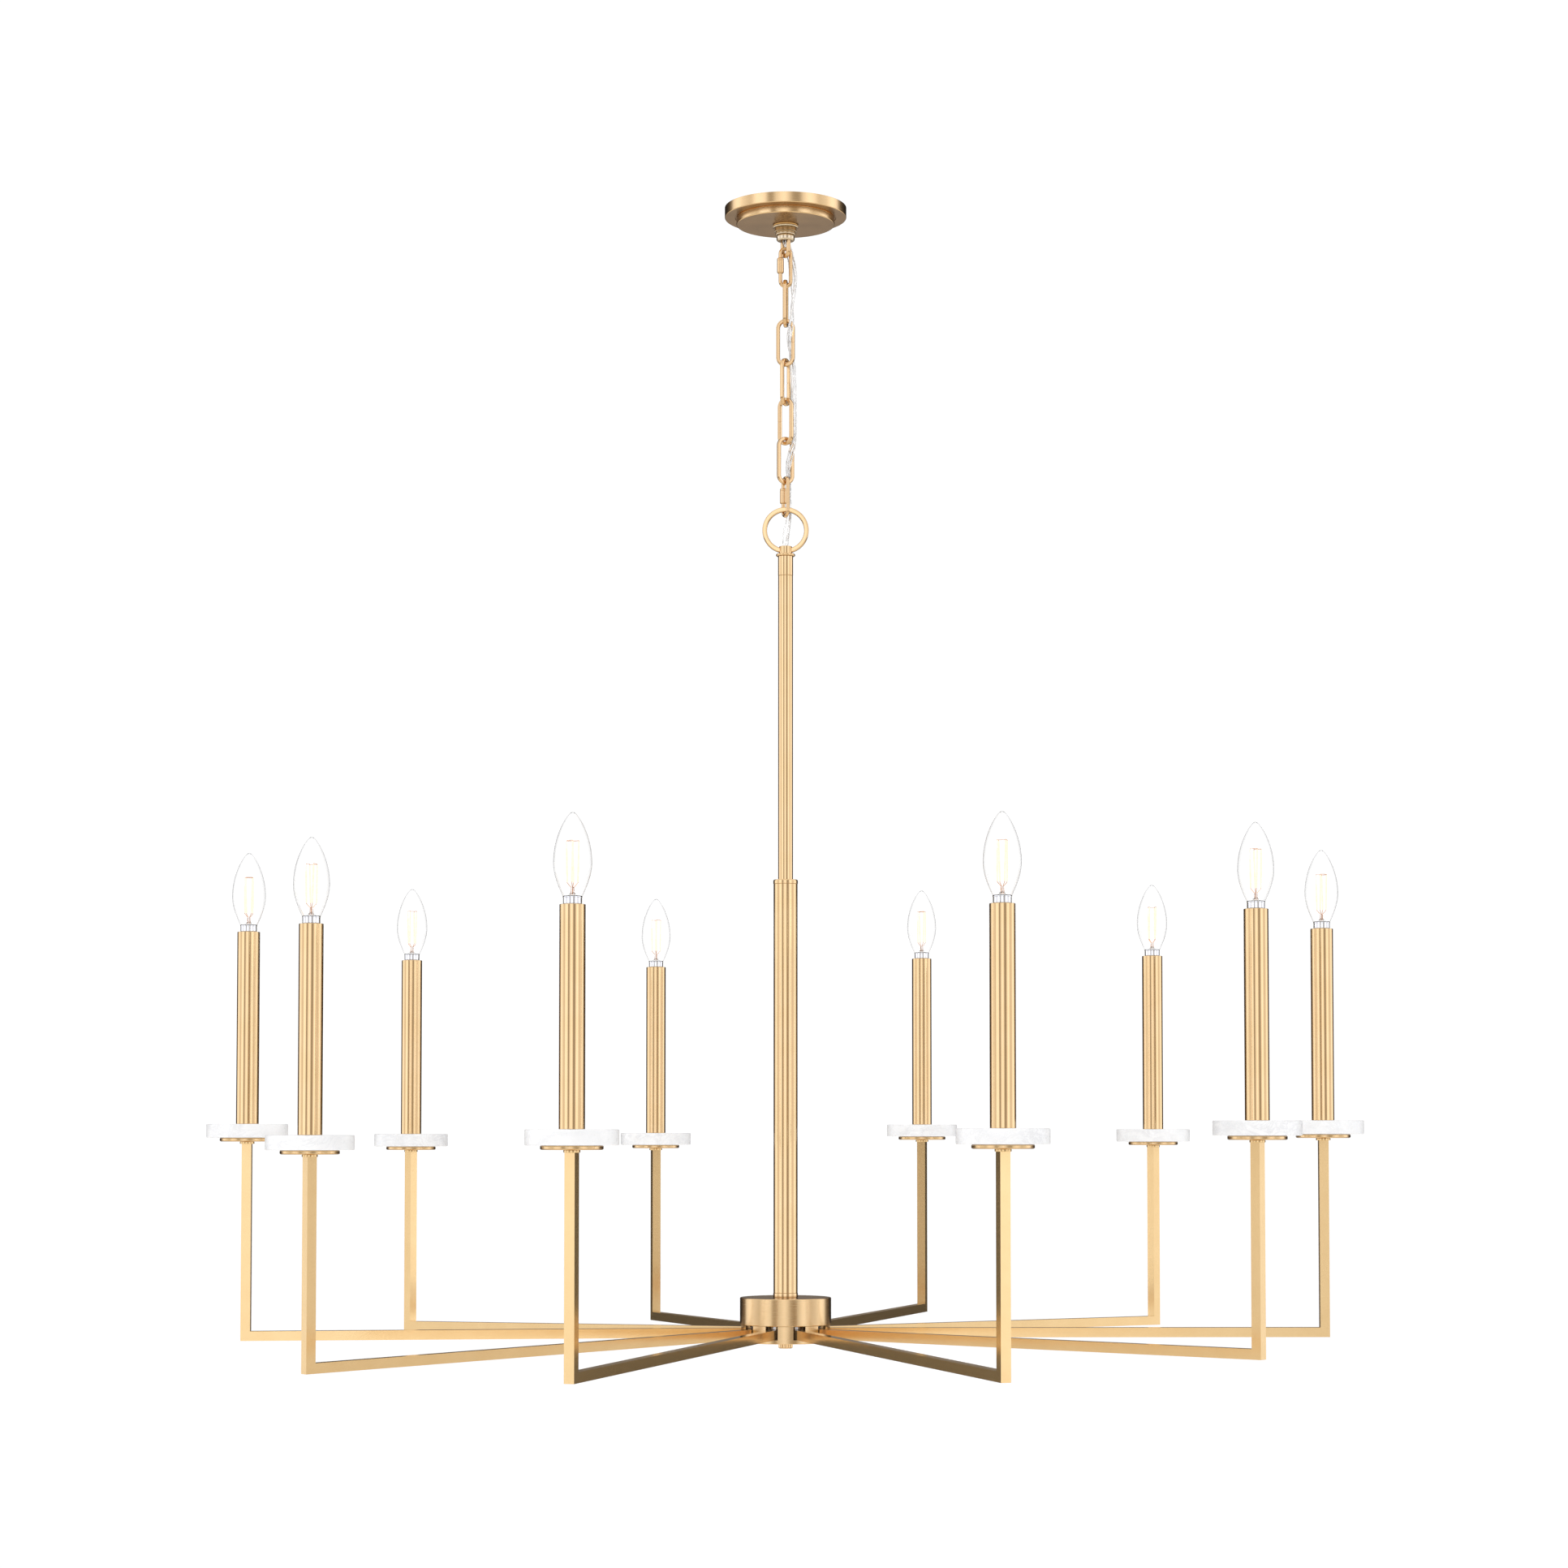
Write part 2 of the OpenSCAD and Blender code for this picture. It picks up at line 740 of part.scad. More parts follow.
canopy();
ceiling_crossbar();
canopy_ring_nut();
canopy_loop();
top_quick_link();
chain_link(1);  // chain_link_1
chain_link(2);  // chain_link_2
chain_link(3);  // chain_link_3
chain_link(4);  // chain_link_4
chain_link(5);  // chain_link_5
bottom_quick_link();
power_cord();
ground_wire();
hanging_ring();
upper_stem();
lower_stem();
hub_drum();
hub_base();
pivot_screws();
finial();
arm(1);  // arm_01
arm(2);  // arm_02
arm(3);  // arm_03
arm(4);  // arm_04
arm(5);  // arm_05
arm(6);  // arm_06
arm(7);  // arm_07
arm(8);  // arm_08
arm(9);  // arm_09
arm(10);  // arm_10
candle(1);  // candle_01
candle(2);  // candle_02
candle(3);  // candle_03
candle(4);  // candle_04
candle(5);  // candle_05
candle(6);  // candle_06
candle(7);  // candle_07
candle(8);  // candle_08
candle(9);  // candle_09
candle(10);  // candle_10
disc(1);  // disc_01
disc(2);  // disc_02
disc(3);  // disc_03
disc(4);  // disc_04
disc(5);  // disc_05
disc(6);  // disc_06
disc(7);  // disc_07
disc(8);  // disc_08
disc(9);  // disc_09
disc(10);  // disc_10
bulb(1);  // bulb_01
bulb(2);  // bulb_02
bulb(3);  // bulb_03
bulb(4);  // bulb_04
bulb(5);  // bulb_05
bulb(6);  // bulb_06
bulb(7);  // bulb_07
bulb(8);  // bulb_08
bulb(9);  // bulb_09
bulb(10);  // bulb_10
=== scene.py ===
import json
import math

import bpy
from mathutils import Matrix, Vector


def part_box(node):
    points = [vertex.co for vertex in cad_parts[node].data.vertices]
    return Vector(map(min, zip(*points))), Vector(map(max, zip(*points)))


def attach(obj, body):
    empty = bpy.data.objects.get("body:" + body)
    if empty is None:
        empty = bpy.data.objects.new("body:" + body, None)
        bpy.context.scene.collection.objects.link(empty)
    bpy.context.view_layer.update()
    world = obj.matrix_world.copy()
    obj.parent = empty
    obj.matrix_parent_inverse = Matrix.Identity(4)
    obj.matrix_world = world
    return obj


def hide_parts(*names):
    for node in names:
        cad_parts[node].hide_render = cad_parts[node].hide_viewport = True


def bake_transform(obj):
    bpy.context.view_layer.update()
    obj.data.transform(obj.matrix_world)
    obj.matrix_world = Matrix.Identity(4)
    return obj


# Looks of a ten-light brass chandelier: camera, materials, cords, turned and swept
# brass pieces, stone discs, lit bulbs, floor and light. Lengths are in metres, and
# profiles are written in millimetres and scaled by MM.

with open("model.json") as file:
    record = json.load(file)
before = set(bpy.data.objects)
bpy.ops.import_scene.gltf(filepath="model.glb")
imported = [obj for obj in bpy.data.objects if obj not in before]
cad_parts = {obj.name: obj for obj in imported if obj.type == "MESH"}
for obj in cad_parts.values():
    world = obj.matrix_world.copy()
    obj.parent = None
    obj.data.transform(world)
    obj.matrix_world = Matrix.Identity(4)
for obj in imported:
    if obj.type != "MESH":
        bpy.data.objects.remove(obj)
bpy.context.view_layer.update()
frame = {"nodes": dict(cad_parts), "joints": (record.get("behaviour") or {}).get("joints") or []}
nodes = frame["nodes"]
joints = {j["name"]: j for j in frame["joints"]}

MM = 0.001
UP = Vector((0, 0, 1))
ARMS = [f"{i:02d}" for i in range(1, 11)]
LINKS = [1, 2, 3, 4, 5]

# ---------- Camera ----------

SENSOR = 36.0
LENS = 76.78
CAMERA_AT = (0.0, -3.5339, -0.9833)
CAMERA_PITCH = math.radians(2.681)
CAMERA_SHIFT = (-0.001, 0.12)

camera_data = bpy.data.cameras.new("camera")
camera_data.sensor_width = SENSOR
camera_data.lens = LENS
camera_data.shift_x, camera_data.shift_y = CAMERA_SHIFT
camera_data.clip_end = 100
camera = bpy.data.objects.new("camera", camera_data)
camera.location = CAMERA_AT
camera.rotation_euler = (math.pi / 2 + CAMERA_PITCH, 0, 0)
bpy.context.scene.collection.objects.link(camera)
bpy.context.scene.camera = camera

# ---------- Node helpers for the materials ----------


class Shader:
    """A new material with its nodes, and short calls that add and link more."""

    def __init__(self, name):
        self.material = bpy.data.materials.new(name)
        self.material.use_nodes = True
        self.tree = self.material.node_tree
        self.surface = self.tree.nodes["Principled BSDF"]

    def add(self, kind, **settings):
        """A new node of a kind, with its settings."""
        made = self.tree.nodes.new(kind)
        for key, value in settings.items():
            setattr(made, key, value)
        return made

    def link(self, output, target):
        self.tree.links.new(output, target)

    def set(self, **values):
        """Numbers and colours for the surface's own inputs, such as Base_Color."""
        for key, value in values.items():
            self.surface.inputs[key.replace("_", " ")].default_value = value

    def coords(self, scale=(1, 1, 1)):
        """Object coordinates in metres, scaled on each axis."""
        source = self.add("ShaderNodeTexCoord")
        mapping = self.add("ShaderNodeMapping")
        mapping.inputs["Scale"].default_value = scale
        self.link(source.outputs["Object"], mapping.inputs["Vector"])
        return mapping.outputs["Vector"]

    def noise(self, vector, scale, detail=3.0, roughness=0.5, distortion=0.0):
        made = self.add("ShaderNodeTexNoise")
        made.inputs["Scale"].default_value = scale
        made.inputs["Detail"].default_value = detail
        made.inputs["Roughness"].default_value = roughness
        made.inputs["Distortion"].default_value = distortion
        self.link(vector, made.inputs["Vector"])
        return made.outputs["Fac"]

    def ramp(self, value, stops):
        """A value turned to a colour. Each stop is (place, colour)."""
        made = self.add("ShaderNodeValToRGB")
        points = made.color_ramp.elements
        while len(points) < len(stops):
            points.new(0.5)
        for point, (place, colour) in zip(points, stops):
            point.position = place
            point.color = (*colour, 1)
        self.link(value, made.inputs["Fac"])
        return made.outputs["Color"]

    def multiply(self, first, second, share=1.0):
        """One colour times another; share is a number or an output."""
        made = self.add("ShaderNodeMixRGB", blend_type="MULTIPLY")
        if isinstance(share, bpy.types.NodeSocket):
            self.link(share, made.inputs["Fac"])
        else:
            made.inputs["Fac"].default_value = share
        self.link(first, made.inputs["Color1"])
        self.link(second, made.inputs["Color2"])
        return made.outputs["Color"]

    def spread(self, value, low, high, from_low=0.3, from_high=0.7):
        """A value between from_low and from_high spread over low to high."""
        made = self.add("ShaderNodeMapRange")
        made.inputs["From Min"].default_value = from_low
        made.inputs["From Max"].default_value = from_high
        made.inputs["To Min"].default_value = low
        made.inputs["To Max"].default_value = high
        self.link(value, made.inputs["Value"])
        return made.outputs["Result"]

    def bump(self, height, strength, distance):
        """A bumped normal from a height output."""
        made = self.add("ShaderNodeBump")
        made.inputs["Strength"].default_value = strength
        made.inputs["Distance"].default_value = distance
        self.link(height, made.inputs["Height"])
        return made.outputs["Normal"]


# ---------- Materials ----------

# Stretch of the brushing's noise: round a turned part, up a tube, and along a bar
GRAIN_ROUND = (30, 30, 2600)
GRAIN_UPRIGHT = (2200, 2200, 12)
GRAIN_FLAT = (500, 500, 2600)

# Painted shade: the brass is darkened where it is seen along its surface, standing in for the dark outlines
# its reflections give: (slant, tone)
GRAZING_PAINTED_SHADE = [
    (0.50, (1, 1, 1)), (0.66, (0.68, 0.63, 0.58)), (0.78, (0.38, 0.33, 0.29)), (0.90, (0.34, 0.30, 0.27)),
    (0.96, (0.62, 0.57, 0.52)),
]


def brass(name, pale, deep, grain, roughness, fanned=0.0, metal=1.0, edge=1.0):
    """Satin brass: fine brushing along the grain, faint mottling, and painted shade where the surface is
    seen edge-on. fanned spreads the highlights of brushing that runs round the vertical; edge is the share
    of the painted edge-on shade."""
    s = Shader(name)
    broad = s.noise(s.coords(), 38, 4, 0.6)
    fine = s.noise(s.coords(grain), 1.0, 2, 0.6)
    tone = s.ramp(broad, [(0.25, deep), (0.75, pale)])
    streak = s.ramp(fine, [(0.3, (0.95, 0.95, 0.95)), (0.7, (1, 1, 1))])
    slant = s.add("ShaderNodeLayerWeight").outputs["Facing"]
    brushed = s.multiply(tone, streak)
    # Painted shade: the base colour is darkened by the edge-on slant ramp.
    s.link(s.multiply(brushed, s.ramp(slant, GRAZING_PAINTED_SHADE), edge), s.surface.inputs["Base Color"])
    s.link(s.spread(fine, roughness * 0.8, roughness * 1.25), s.surface.inputs["Roughness"])
    s.link(s.bump(fine, 0.05, 0.00003), s.surface.inputs["Normal"])
    s.set(Metallic=metal)
    if fanned:
        tangent = s.add("ShaderNodeTangent", direction_type="RADIAL", axis="Z")
        s.link(tangent.outputs["Tangent"], s.surface.inputs["Tangent"])
        s.set(Anisotropic=fanned, Anisotropic_Rotation=0.25)
    return s.material


def alabaster():
    """Pale stone: cloudy body, fine grey veins and small chalky patches."""
    s = Shader("alabaster")
    warp = s.noise(s.coords(), 22, 3, 0.55)
    cloud = s.noise(s.coords(), 30, 6, 0.62, 1.2)
    vein = s.noise(s.coords((1, 1, 1.8)), 34, 8, 0.72, 2.2)
    speck = s.noise(s.coords(), 420, 2, 0.5)
    body = s.ramp(cloud, [
        (0.30, (0.76, 0.76, 0.765)), (0.52, (0.82, 0.82, 0.822)), (0.75, (0.86, 0.86, 0.86)),
    ])
    line = s.ramp(vein, [
        (0.455, (1, 1, 1)), (0.495, (0.84, 0.84, 0.855)), (0.52, (0.88, 0.88, 0.89)), (0.56, (1, 1, 1)),
    ])
    veined = s.multiply(body, line, s.spread(warp, 0.1, 0.85, 0.38, 0.62))
    s.link(veined, s.surface.inputs["Base Color"])
    s.link(s.spread(speck, 0.26, 0.42), s.surface.inputs["Roughness"])
    s.link(s.bump(cloud, 0.10, 0.0006), s.surface.inputs["Normal"])
    s.set(Subsurface_Weight=0.12, Subsurface_Radius=(0.006, 0.0055, 0.005), Subsurface_Scale=1.0)
    return s.material


def clear_glass(name, tint, roughness, ior):
    """Clear glass or plastic, a little wavy."""
    s = Shader(name)
    wave = s.noise(s.coords(), 60, 2, 0.5)
    s.link(s.bump(wave, 0.05, 0.0005), s.surface.inputs["Normal"])
    s.set(Base_Color=(*tint, 1), Transmission_Weight=1.0, Roughness=roughness, IOR=ior)
    return s.material


def plated(name, pale, deep, roughness):
    """Nickel or zinc plate: faint clouding and fine scratches."""
    s = Shader(name)
    cloud = s.noise(s.coords(), 160, 4, 0.6)
    scratch = s.noise(s.coords((400, 400, 2400)), 1.0, 2, 0.5)
    s.link(s.ramp(cloud, [(0.3, deep), (0.7, pale)]), s.surface.inputs["Base Color"])
    s.link(s.spread(scratch, roughness - 0.06, roughness + 0.08), s.surface.inputs["Roughness"])
    s.link(s.bump(scratch, 0.1, 0.00003), s.surface.inputs["Normal"])
    s.set(Metallic=1.0)
    return s.material


def ceramic():
    """Unglazed white of the lamp sockets."""
    s = Shader("socket_ceramic")
    grain = s.noise(s.coords(), 900, 3, 0.5)
    tone = s.ramp(grain, [(0.3, (0.80, 0.79, 0.76)), (0.7, (0.87, 0.86, 0.84))])
    s.link(tone, s.surface.inputs["Base Color"])
    s.link(s.bump(grain, 0.2, 0.0001), s.surface.inputs["Normal"])
    s.set(Roughness=0.5)
    return s.material


def filament():
    """Lit phosphor stick: pale yellow, a little uneven along its length."""
    s = Shader("lit_filament")
    grain = s.noise(s.coords((200, 200, 900)), 1.0, 2, 0.5)
    glow = s.ramp(grain, [(0.3, (1.0, 0.93, 0.66)), (0.7, (1.0, 0.97, 0.80))])
    s.link(glow, s.surface.inputs["Emission Color"])
    s.set(Base_Color=(0.05, 0.05, 0.03, 1), Emission_Strength=1.0, Roughness=0.5)
    return s.material


def stranded():
    """Tinned copper strands in the cords."""
    s = Shader("tinned_strands")
    twist = s.noise(s.coords((1500, 1500, 700)), 1.0, 2, 0.5)
    tone = s.ramp(twist, [(0.35, (0.62, 0.61, 0.60)), (0.65, (0.92, 0.91, 0.90))])
    s.link(tone, s.surface.inputs["Base Color"])
    s.link(s.bump(twist, 0.3, 0.0001), s.surface.inputs["Normal"])
    s.set(Metallic=0.55, Roughness=0.36)
    return s.material


BRASS_PALE = (0.86, 0.605, 0.32)
BRASS_DEEP = (0.82, 0.565, 0.28)
mat_turned = brass("brass_turned", BRASS_PALE, BRASS_DEEP, GRAIN_ROUND, 0.22, 0.55)
mat_tube = brass("brass_tube", BRASS_PALE, BRASS_DEEP, GRAIN_UPRIGHT, 0.09)
mat_bar = brass(
    "brass_bar", (0.85, 0.60, 0.29), (0.81, 0.56, 0.26), GRAIN_FLAT, 0.16, metal=0.9, edge=0.3)
mat_wire = brass("brass_wire", (0.84, 0.58, 0.31), (0.79, 0.53, 0.27), GRAIN_UPRIGHT, 0.13)
mat_pale = brass("brass_pale", (0.86, 0.74, 0.54), (0.76, 0.62, 0.42), GRAIN_ROUND, 0.16)
mat_stone = alabaster()
mat_glass = clear_glass("bulb_glass", (1, 1, 1), 0.0, 1.46)
mat_cord = clear_glass("clear_cord", (0.98, 0.98, 0.985), 0.12, 1.22)
mat_nickel = plated("nickel_cap", (0.93, 0.93, 0.92), (0.84, 0.84, 0.83), 0.12)
mat_zinc = plated("zinc_steel", (0.74, 0.74, 0.72), (0.60, 0.60, 0.59), 0.30)
mat_ceramic = ceramic()
mat_filament = filament()
mat_strands = stranded()
mat_lead = plated("lead_wire", (0.80, 0.42, 0.22), (0.55, 0.25, 0.12), 0.24)

# ---------- Mesh helpers ----------

SMOOTH_ANGLE = math.radians(32)
ON_AXIS = 1e-6


def flatten_shading(made):
    """Lets the large faces set the shading at their edges, so long tubes stay even."""
    even = made.modifiers.new("even_shading", "WEIGHTED_NORMAL")
    even.keep_sharp = True
    even.weight = 100


def piece(name, points, faces, material, body=None, slot=None, stands_for=()):
    """A mesh object in the frame, smooth except at its sharp edges."""
    mesh = bpy.data.meshes.new(name)
    mesh.from_pydata([tuple(p) for p in points], [], faces)
    mesh.validate()
    mesh.shade_smooth()
    mesh.set_sharp_from_angle(angle=SMOOTH_ANGLE)
    for m in material if isinstance(material, list) else [material]:
        mesh.materials.append(m)
    made = bpy.data.objects.new(name, mesh)
    bpy.context.scene.collection.objects.link(made)
    flatten_shading(made)
    if body:
        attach(made, body)
    if stands_for:
        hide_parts(*stands_for)
    return made


def paint_node(name, material):
    """Gives a CAD node its material."""
    mesh = nodes[name].data
    mesh.materials.clear()
    mesh.materials.append(material)


def rounded(corners, steps=4):
    """An outline with its corners turned to arcs. Each corner is (r, z, radius)."""
    out = []
    count = len(corners)
    for i, (x, y, radius) in enumerate(corners):
        here = Vector((x, y))
        if radius <= 0:
            out.append((x, y))
            continue
        to_last = (Vector(corners[i - 1][:2]) - here).normalized()
        to_next = (Vector(corners[(i + 1) % count][:2]) - here).normalized()
        half = to_last.angle(to_next) / 2
        reach = radius / math.tan(half)
        centre = here + (to_last + to_next).normalized() * radius / math.sin(half)
        first = here + to_last * reach - centre
        last = here + to_next * reach - centre
        for k in range(steps + 1):
            spoke = first.slerp(last, k / steps) * radius
            out.append((centre.x + spoke.x, centre.y + spoke.y))
    return out


def turned(outline, at=(0, 0, 0), segments=72, knurl=None):
    """Points and faces of a closed outline of (r, z), in millimetres, spun about the
    vertical through at. knurl is (lowest r, depth, count) for ridges on the outside."""
    points = []
    faces = []
    rings = []
    for r, z in outline:
        ring = []
        for k in range(segments if r > ON_AXIS else 1):
            angle = 2 * math.pi * k / segments
            radius = r
            if knurl and r >= knurl[0]:
                radius = r - knurl[1] * (0.5 - 0.5 * math.cos(knurl[2] * angle))
            spoke = Vector((radius * math.cos(angle), radius * math.sin(angle), z))
            ring.append(len(points))
            points.append(Vector(at) + spoke * MM)
        rings.append(ring)
    for a, b in zip(rings, rings[1:] + rings[:1]):
        if len(a) == 1 and len(b) == 1:
            continue
        for k in range(segments):
            n = (k + 1) % segments
            if len(a) == 1:
                faces.append((a[0], b[n], b[k]))
            elif len(b) == 1:
                faces.append((a[k], a[n], b[0]))
            else:
                faces.append((a[k], a[n], b[n], b[k]))
    return points, faces


def join(*shapes):
    """Several shapes' points and faces as one shape."""
    points = []
    faces = []
    for more_points, more_faces in shapes:
        start = len(points)
        points += more_points
        faces += [tuple(i + start for i in f) for f in more_faces]
    return points, faces


def square_section(side, edge):
    """Outline of a square bar with rounded edges."""
    h = side / 2
    return rounded([(-h, -h, edge), (h, -h, edge), (h, h, edge), (-h, h, edge)], 3)


def round_section(radius, sides):
    """Outline of a round bar."""
    return [
        (radius * math.cos(2 * math.pi * k / sides), radius * math.sin(2 * math.pi * k / sides))
        for k in range(sides)
    ]


def swept(rings, closed):
    """Faces round a list of point rings of one size."""
    points = [p for ring in rings for p in ring]
    n = len(rings[0])
    faces = []
    last = len(rings) if closed else len(rings) - 1
    for i in range(last):
        a = i * n
        b = (i + 1) % len(rings) * n
        for k in range(n):
            m = (k + 1) % n
            faces.append((a + k, a + m, b + m, b + k))
    if not closed:
        faces.append(tuple(range(n - 1, -1, -1)))
        faces.append(tuple(range(len(points) - n, len(points))))
    return points, faces


def wire_rings(path, section, at, turn):
    """Rings of a section along a path in an upright plane. path holds (x, z, angle of
    the outward normal, size); section holds (outward, across); all in millimetres."""
    spin = Matrix.Rotation(turn, 3, "Z")
    across = Vector((0, -1, 0))
    rings = []
    for x, z, angle, size in path:
        out = Vector((math.cos(angle), 0, math.sin(angle)))
        centre = Vector((x, 0, z))
        rings.append([
            Vector(at) + spin @ (centre + (out * a + across * b) * size) * MM
            for a, b in section
        ])
    return rings


# A butt joint in a link's side: (height, size of the wire) from below upward
SEAM = [(-0.35, 1.0), (-0.22, 0.86), (0.22, 0.86), (0.35, 1.0)]


def oval_path(width, length, wire, steps=14, seam=0):
    """A closed oval of wire: (x, z, outward angle, size). seam is the side, 1 or -1,
    that has a butt joint's groove, or 0."""
    mid = (width - wire) / 2
    straight = (length - width) / 2
    out = []
    for k in range(steps + 1):
        a = math.pi * k / steps
        out.append((mid * math.cos(a), straight + mid * math.sin(a), a, 1.0))
    if seam < 0:
        out += [(-mid, z, math.pi, size) for z, size in reversed(SEAM)]
    for k in range(steps + 1):
        a = math.pi * (1 + k / steps)
        out.append((mid * math.cos(a), mid * math.sin(a) - straight, a, 1.0))
    if seam > 0:
        out += [(mid, z, 2 * math.pi, size) for z, size in SEAM]
    return out


def middle_on_axis(node):
    """The point on the chandelier's axis at the height of a node's middle."""
    low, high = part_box(node)
    return Vector((0, 0, (low.z + high.z) / 2))


def turn_of(joint):
    """The angle about the vertical of the bar that a chain joint turns on."""
    x, y, _ = joints[joint]["axis"]
    return math.atan2(y, x)


# ---------- Cords ----------

CORD_ROUTE = [
    (0.0012, 0.0003, -0.0310), (0.0012, 0.0006, -0.0360), (0.0048, 0.0047, -0.0440),
    (0.0072, 0.0052, -0.0530), (0.0090, 0.0039, -0.0620), (0.0103, 0.0020, -0.0720),
    (0.0100, -0.0001, -0.0840), (0.0083, -0.0023, -0.0971), (0.0068, -0.0044, -0.1093),
    (0.0054, -0.0061, -0.1214), (0.0034, -0.0040, -0.1325), (0.0028, 0.0004, -0.1446),
    (0.0055, 0.0038, -0.1567), (0.0088, 0.0043, -0.1678), (0.0094, 0.0032, -0.1789),
    (0.0098, 0.0022, -0.1920), (0.0099, 0.0013, -0.2052), (0.0099, 0.0005, -0.2183),
    (0.0098, -0.0001, -0.2314), (0.0096, -0.0007, -0.2425), (0.0089, -0.0014, -0.2526),
    (0.0049, -0.0011, -0.2637), (0.0020, 0.0021, -0.2748), (0.0022, 0.0061, -0.2849),
    (0.0040, 0.0084, -0.2949), (0.0047, 0.0078, -0.3060), (0.0050, 0.0069, -0.3170),
    (0.0052, 0.0058, -0.3270), (0.0044, 0.0036, -0.3380), (0.0032, 0.0020, -0.3480),
    (0.0020, 0.0009, -0.3580), (0.0011, 0.0003, -0.3660), (0.0010, 0.0002, -0.3780),
]
WIRE_ROUTE = [
    (-0.0028, 0.0009, -0.0310), (-0.0024, 0.0010, -0.0360), (0.0004, 0.0033, -0.0440),
    (0.0023, 0.0038, -0.0530), (0.0037, 0.0038, -0.0620), (0.0051, 0.0039, -0.0720),
    (0.0062, 0.0034, -0.0840), (0.0070, 0.0014, -0.0971), (0.0076, -0.0007, -0.1093),
    (0.0083, -0.0036, -0.1214), (0.0072, -0.0046, -0.1325), (0.0048, -0.0028, -0.1446),
    (0.0044, 0.0000, -0.1567), (0.0053, 0.0029, -0.1678), (0.0056, 0.0033, -0.1789),
    (0.0063, 0.0036, -0.1920), (0.0071, 0.0038, -0.2052), (0.0079, 0.0038, -0.2183),
    (0.0086, 0.0035, -0.2314), (0.0093, 0.0031, -0.2425), (0.0101, 0.0022, -0.2526),
    (0.0086, 0.0005, -0.2637), (0.0058, 0.0004, -0.2748), (0.0034, 0.0023, -0.2849),
    (0.0022, 0.0051, -0.2949), (0.0029, 0.0045, -0.3060), (0.0023, 0.0042, -0.3170),
    (0.0020, 0.0042, -0.3270), (0.0004, 0.0025, -0.3380), (-0.0019, 0.0010, -0.3480),
    (-0.0028, 0.0002, -0.3580), (-0.0028, -0.0002, -0.3660), (-0.0028, -0.0002, -0.3780),
]
ROUTE_STEPS = 8
CORE_SIDES = 14
# Each stretch of cord spans one chain joint, from the middle of one chain part to the middle of the next
CHAIN = [
    "ceiling_canopy", "top_quick_link", "chain_link_1", "chain_link_2", "chain_link_3",
    "chain_link_4", "chain_link_5", "bottom_quick_link", "fixture",
]
CHAIN_JOINTS = [f"{body}_swing" for body in CHAIN[1:]]


def smooth_route(route):
    """Points on a smooth curve through the route's points."""
    out = []
    p = [Vector(x) for x in route]
    last = len(p) - 1
    for i in range(last):
        a, b = p[max(i - 1, 0)], p[i]
        c, d = p[i + 1], p[min(i + 2, last)]
        for k in range(ROUTE_STEPS):
            t = k / ROUTE_STEPS
            out.append(
                0.5 * (2 * b + (c - a) * t + (2 * a - 5 * b + 4 * c - d) * t * t
                       + (3 * b - a - 3 * c + d) * t * t * t)
            )
    out.append(p[last])
    return out


def carried_frames(line):
    """(tangent, side, up) at each point, carried along the line without twisting."""
    frames = []
    side = Vector((1, 0, 0))
    for i in range(len(line)):
        tangent = (line[min(i + 1, len(line) - 1)] - line[max(i - 1, 0)]).normalized()
        side = (side - tangent * side.dot(tangent)).normalized()
        frames.append((tangent, side, tangent.cross(side)))
    return frames


def tube_along(line, frames, section, twist, close_start, close_end):
    """A section swept on carried frames. twist is in radians per metre of height."""
    rings = []
    for i, (p, (_, side, up)) in enumerate(zip(line, frames)):
        turn = twist * (line[0].z - p.z)
        c, s = math.cos(turn), math.sin(turn)
        ring = []
        for a, b in section(i):
            ring.append(p + (side * (a * c - b * s) + up * (a * s + b * c)) * MM)
        rings.append(ring)
    points, faces = swept(rings, False)
    n = len(rings[0])
    start_cap, end_cap = faces[-2], faces[-1]
    faces = faces[:-2]
    if close_start:
        faces.append(start_cap)
    if close_end:
        faces.append(end_cap)
    return points, faces


def two_core_outline(_):
    """A flat cord of two lobes with a waist between them, in millimetres."""
    half_width, half_height, waist_depth, sides = 2.5, 1.45, 0.34, 22
    out = []
    for k in range(sides):
        a = 2 * math.pi * k / sides
        waist = 1 - waist_depth * math.exp(-(math.cos(a) / waist_depth) ** 2)
        out.append((half_width * math.cos(a), half_height * math.sin(a) * waist))
    return out


def strands(offset, radius, lay):
    """A bundle of seven strands beside the centreline, which wind as it goes."""
    def outline(i):
        out = []
        for k in range(CORE_SIDES):
            a = 2 * math.pi * k / CORE_SIDES
            r = radius * (1 + 0.10 * math.cos(7 * a + lay * i))
            out.append((offset + r * math.cos(a), r * math.sin(a)))
        return out
    return outline


def round_outline(radius):
    return lambda _: round_section(radius, CORE_SIDES)


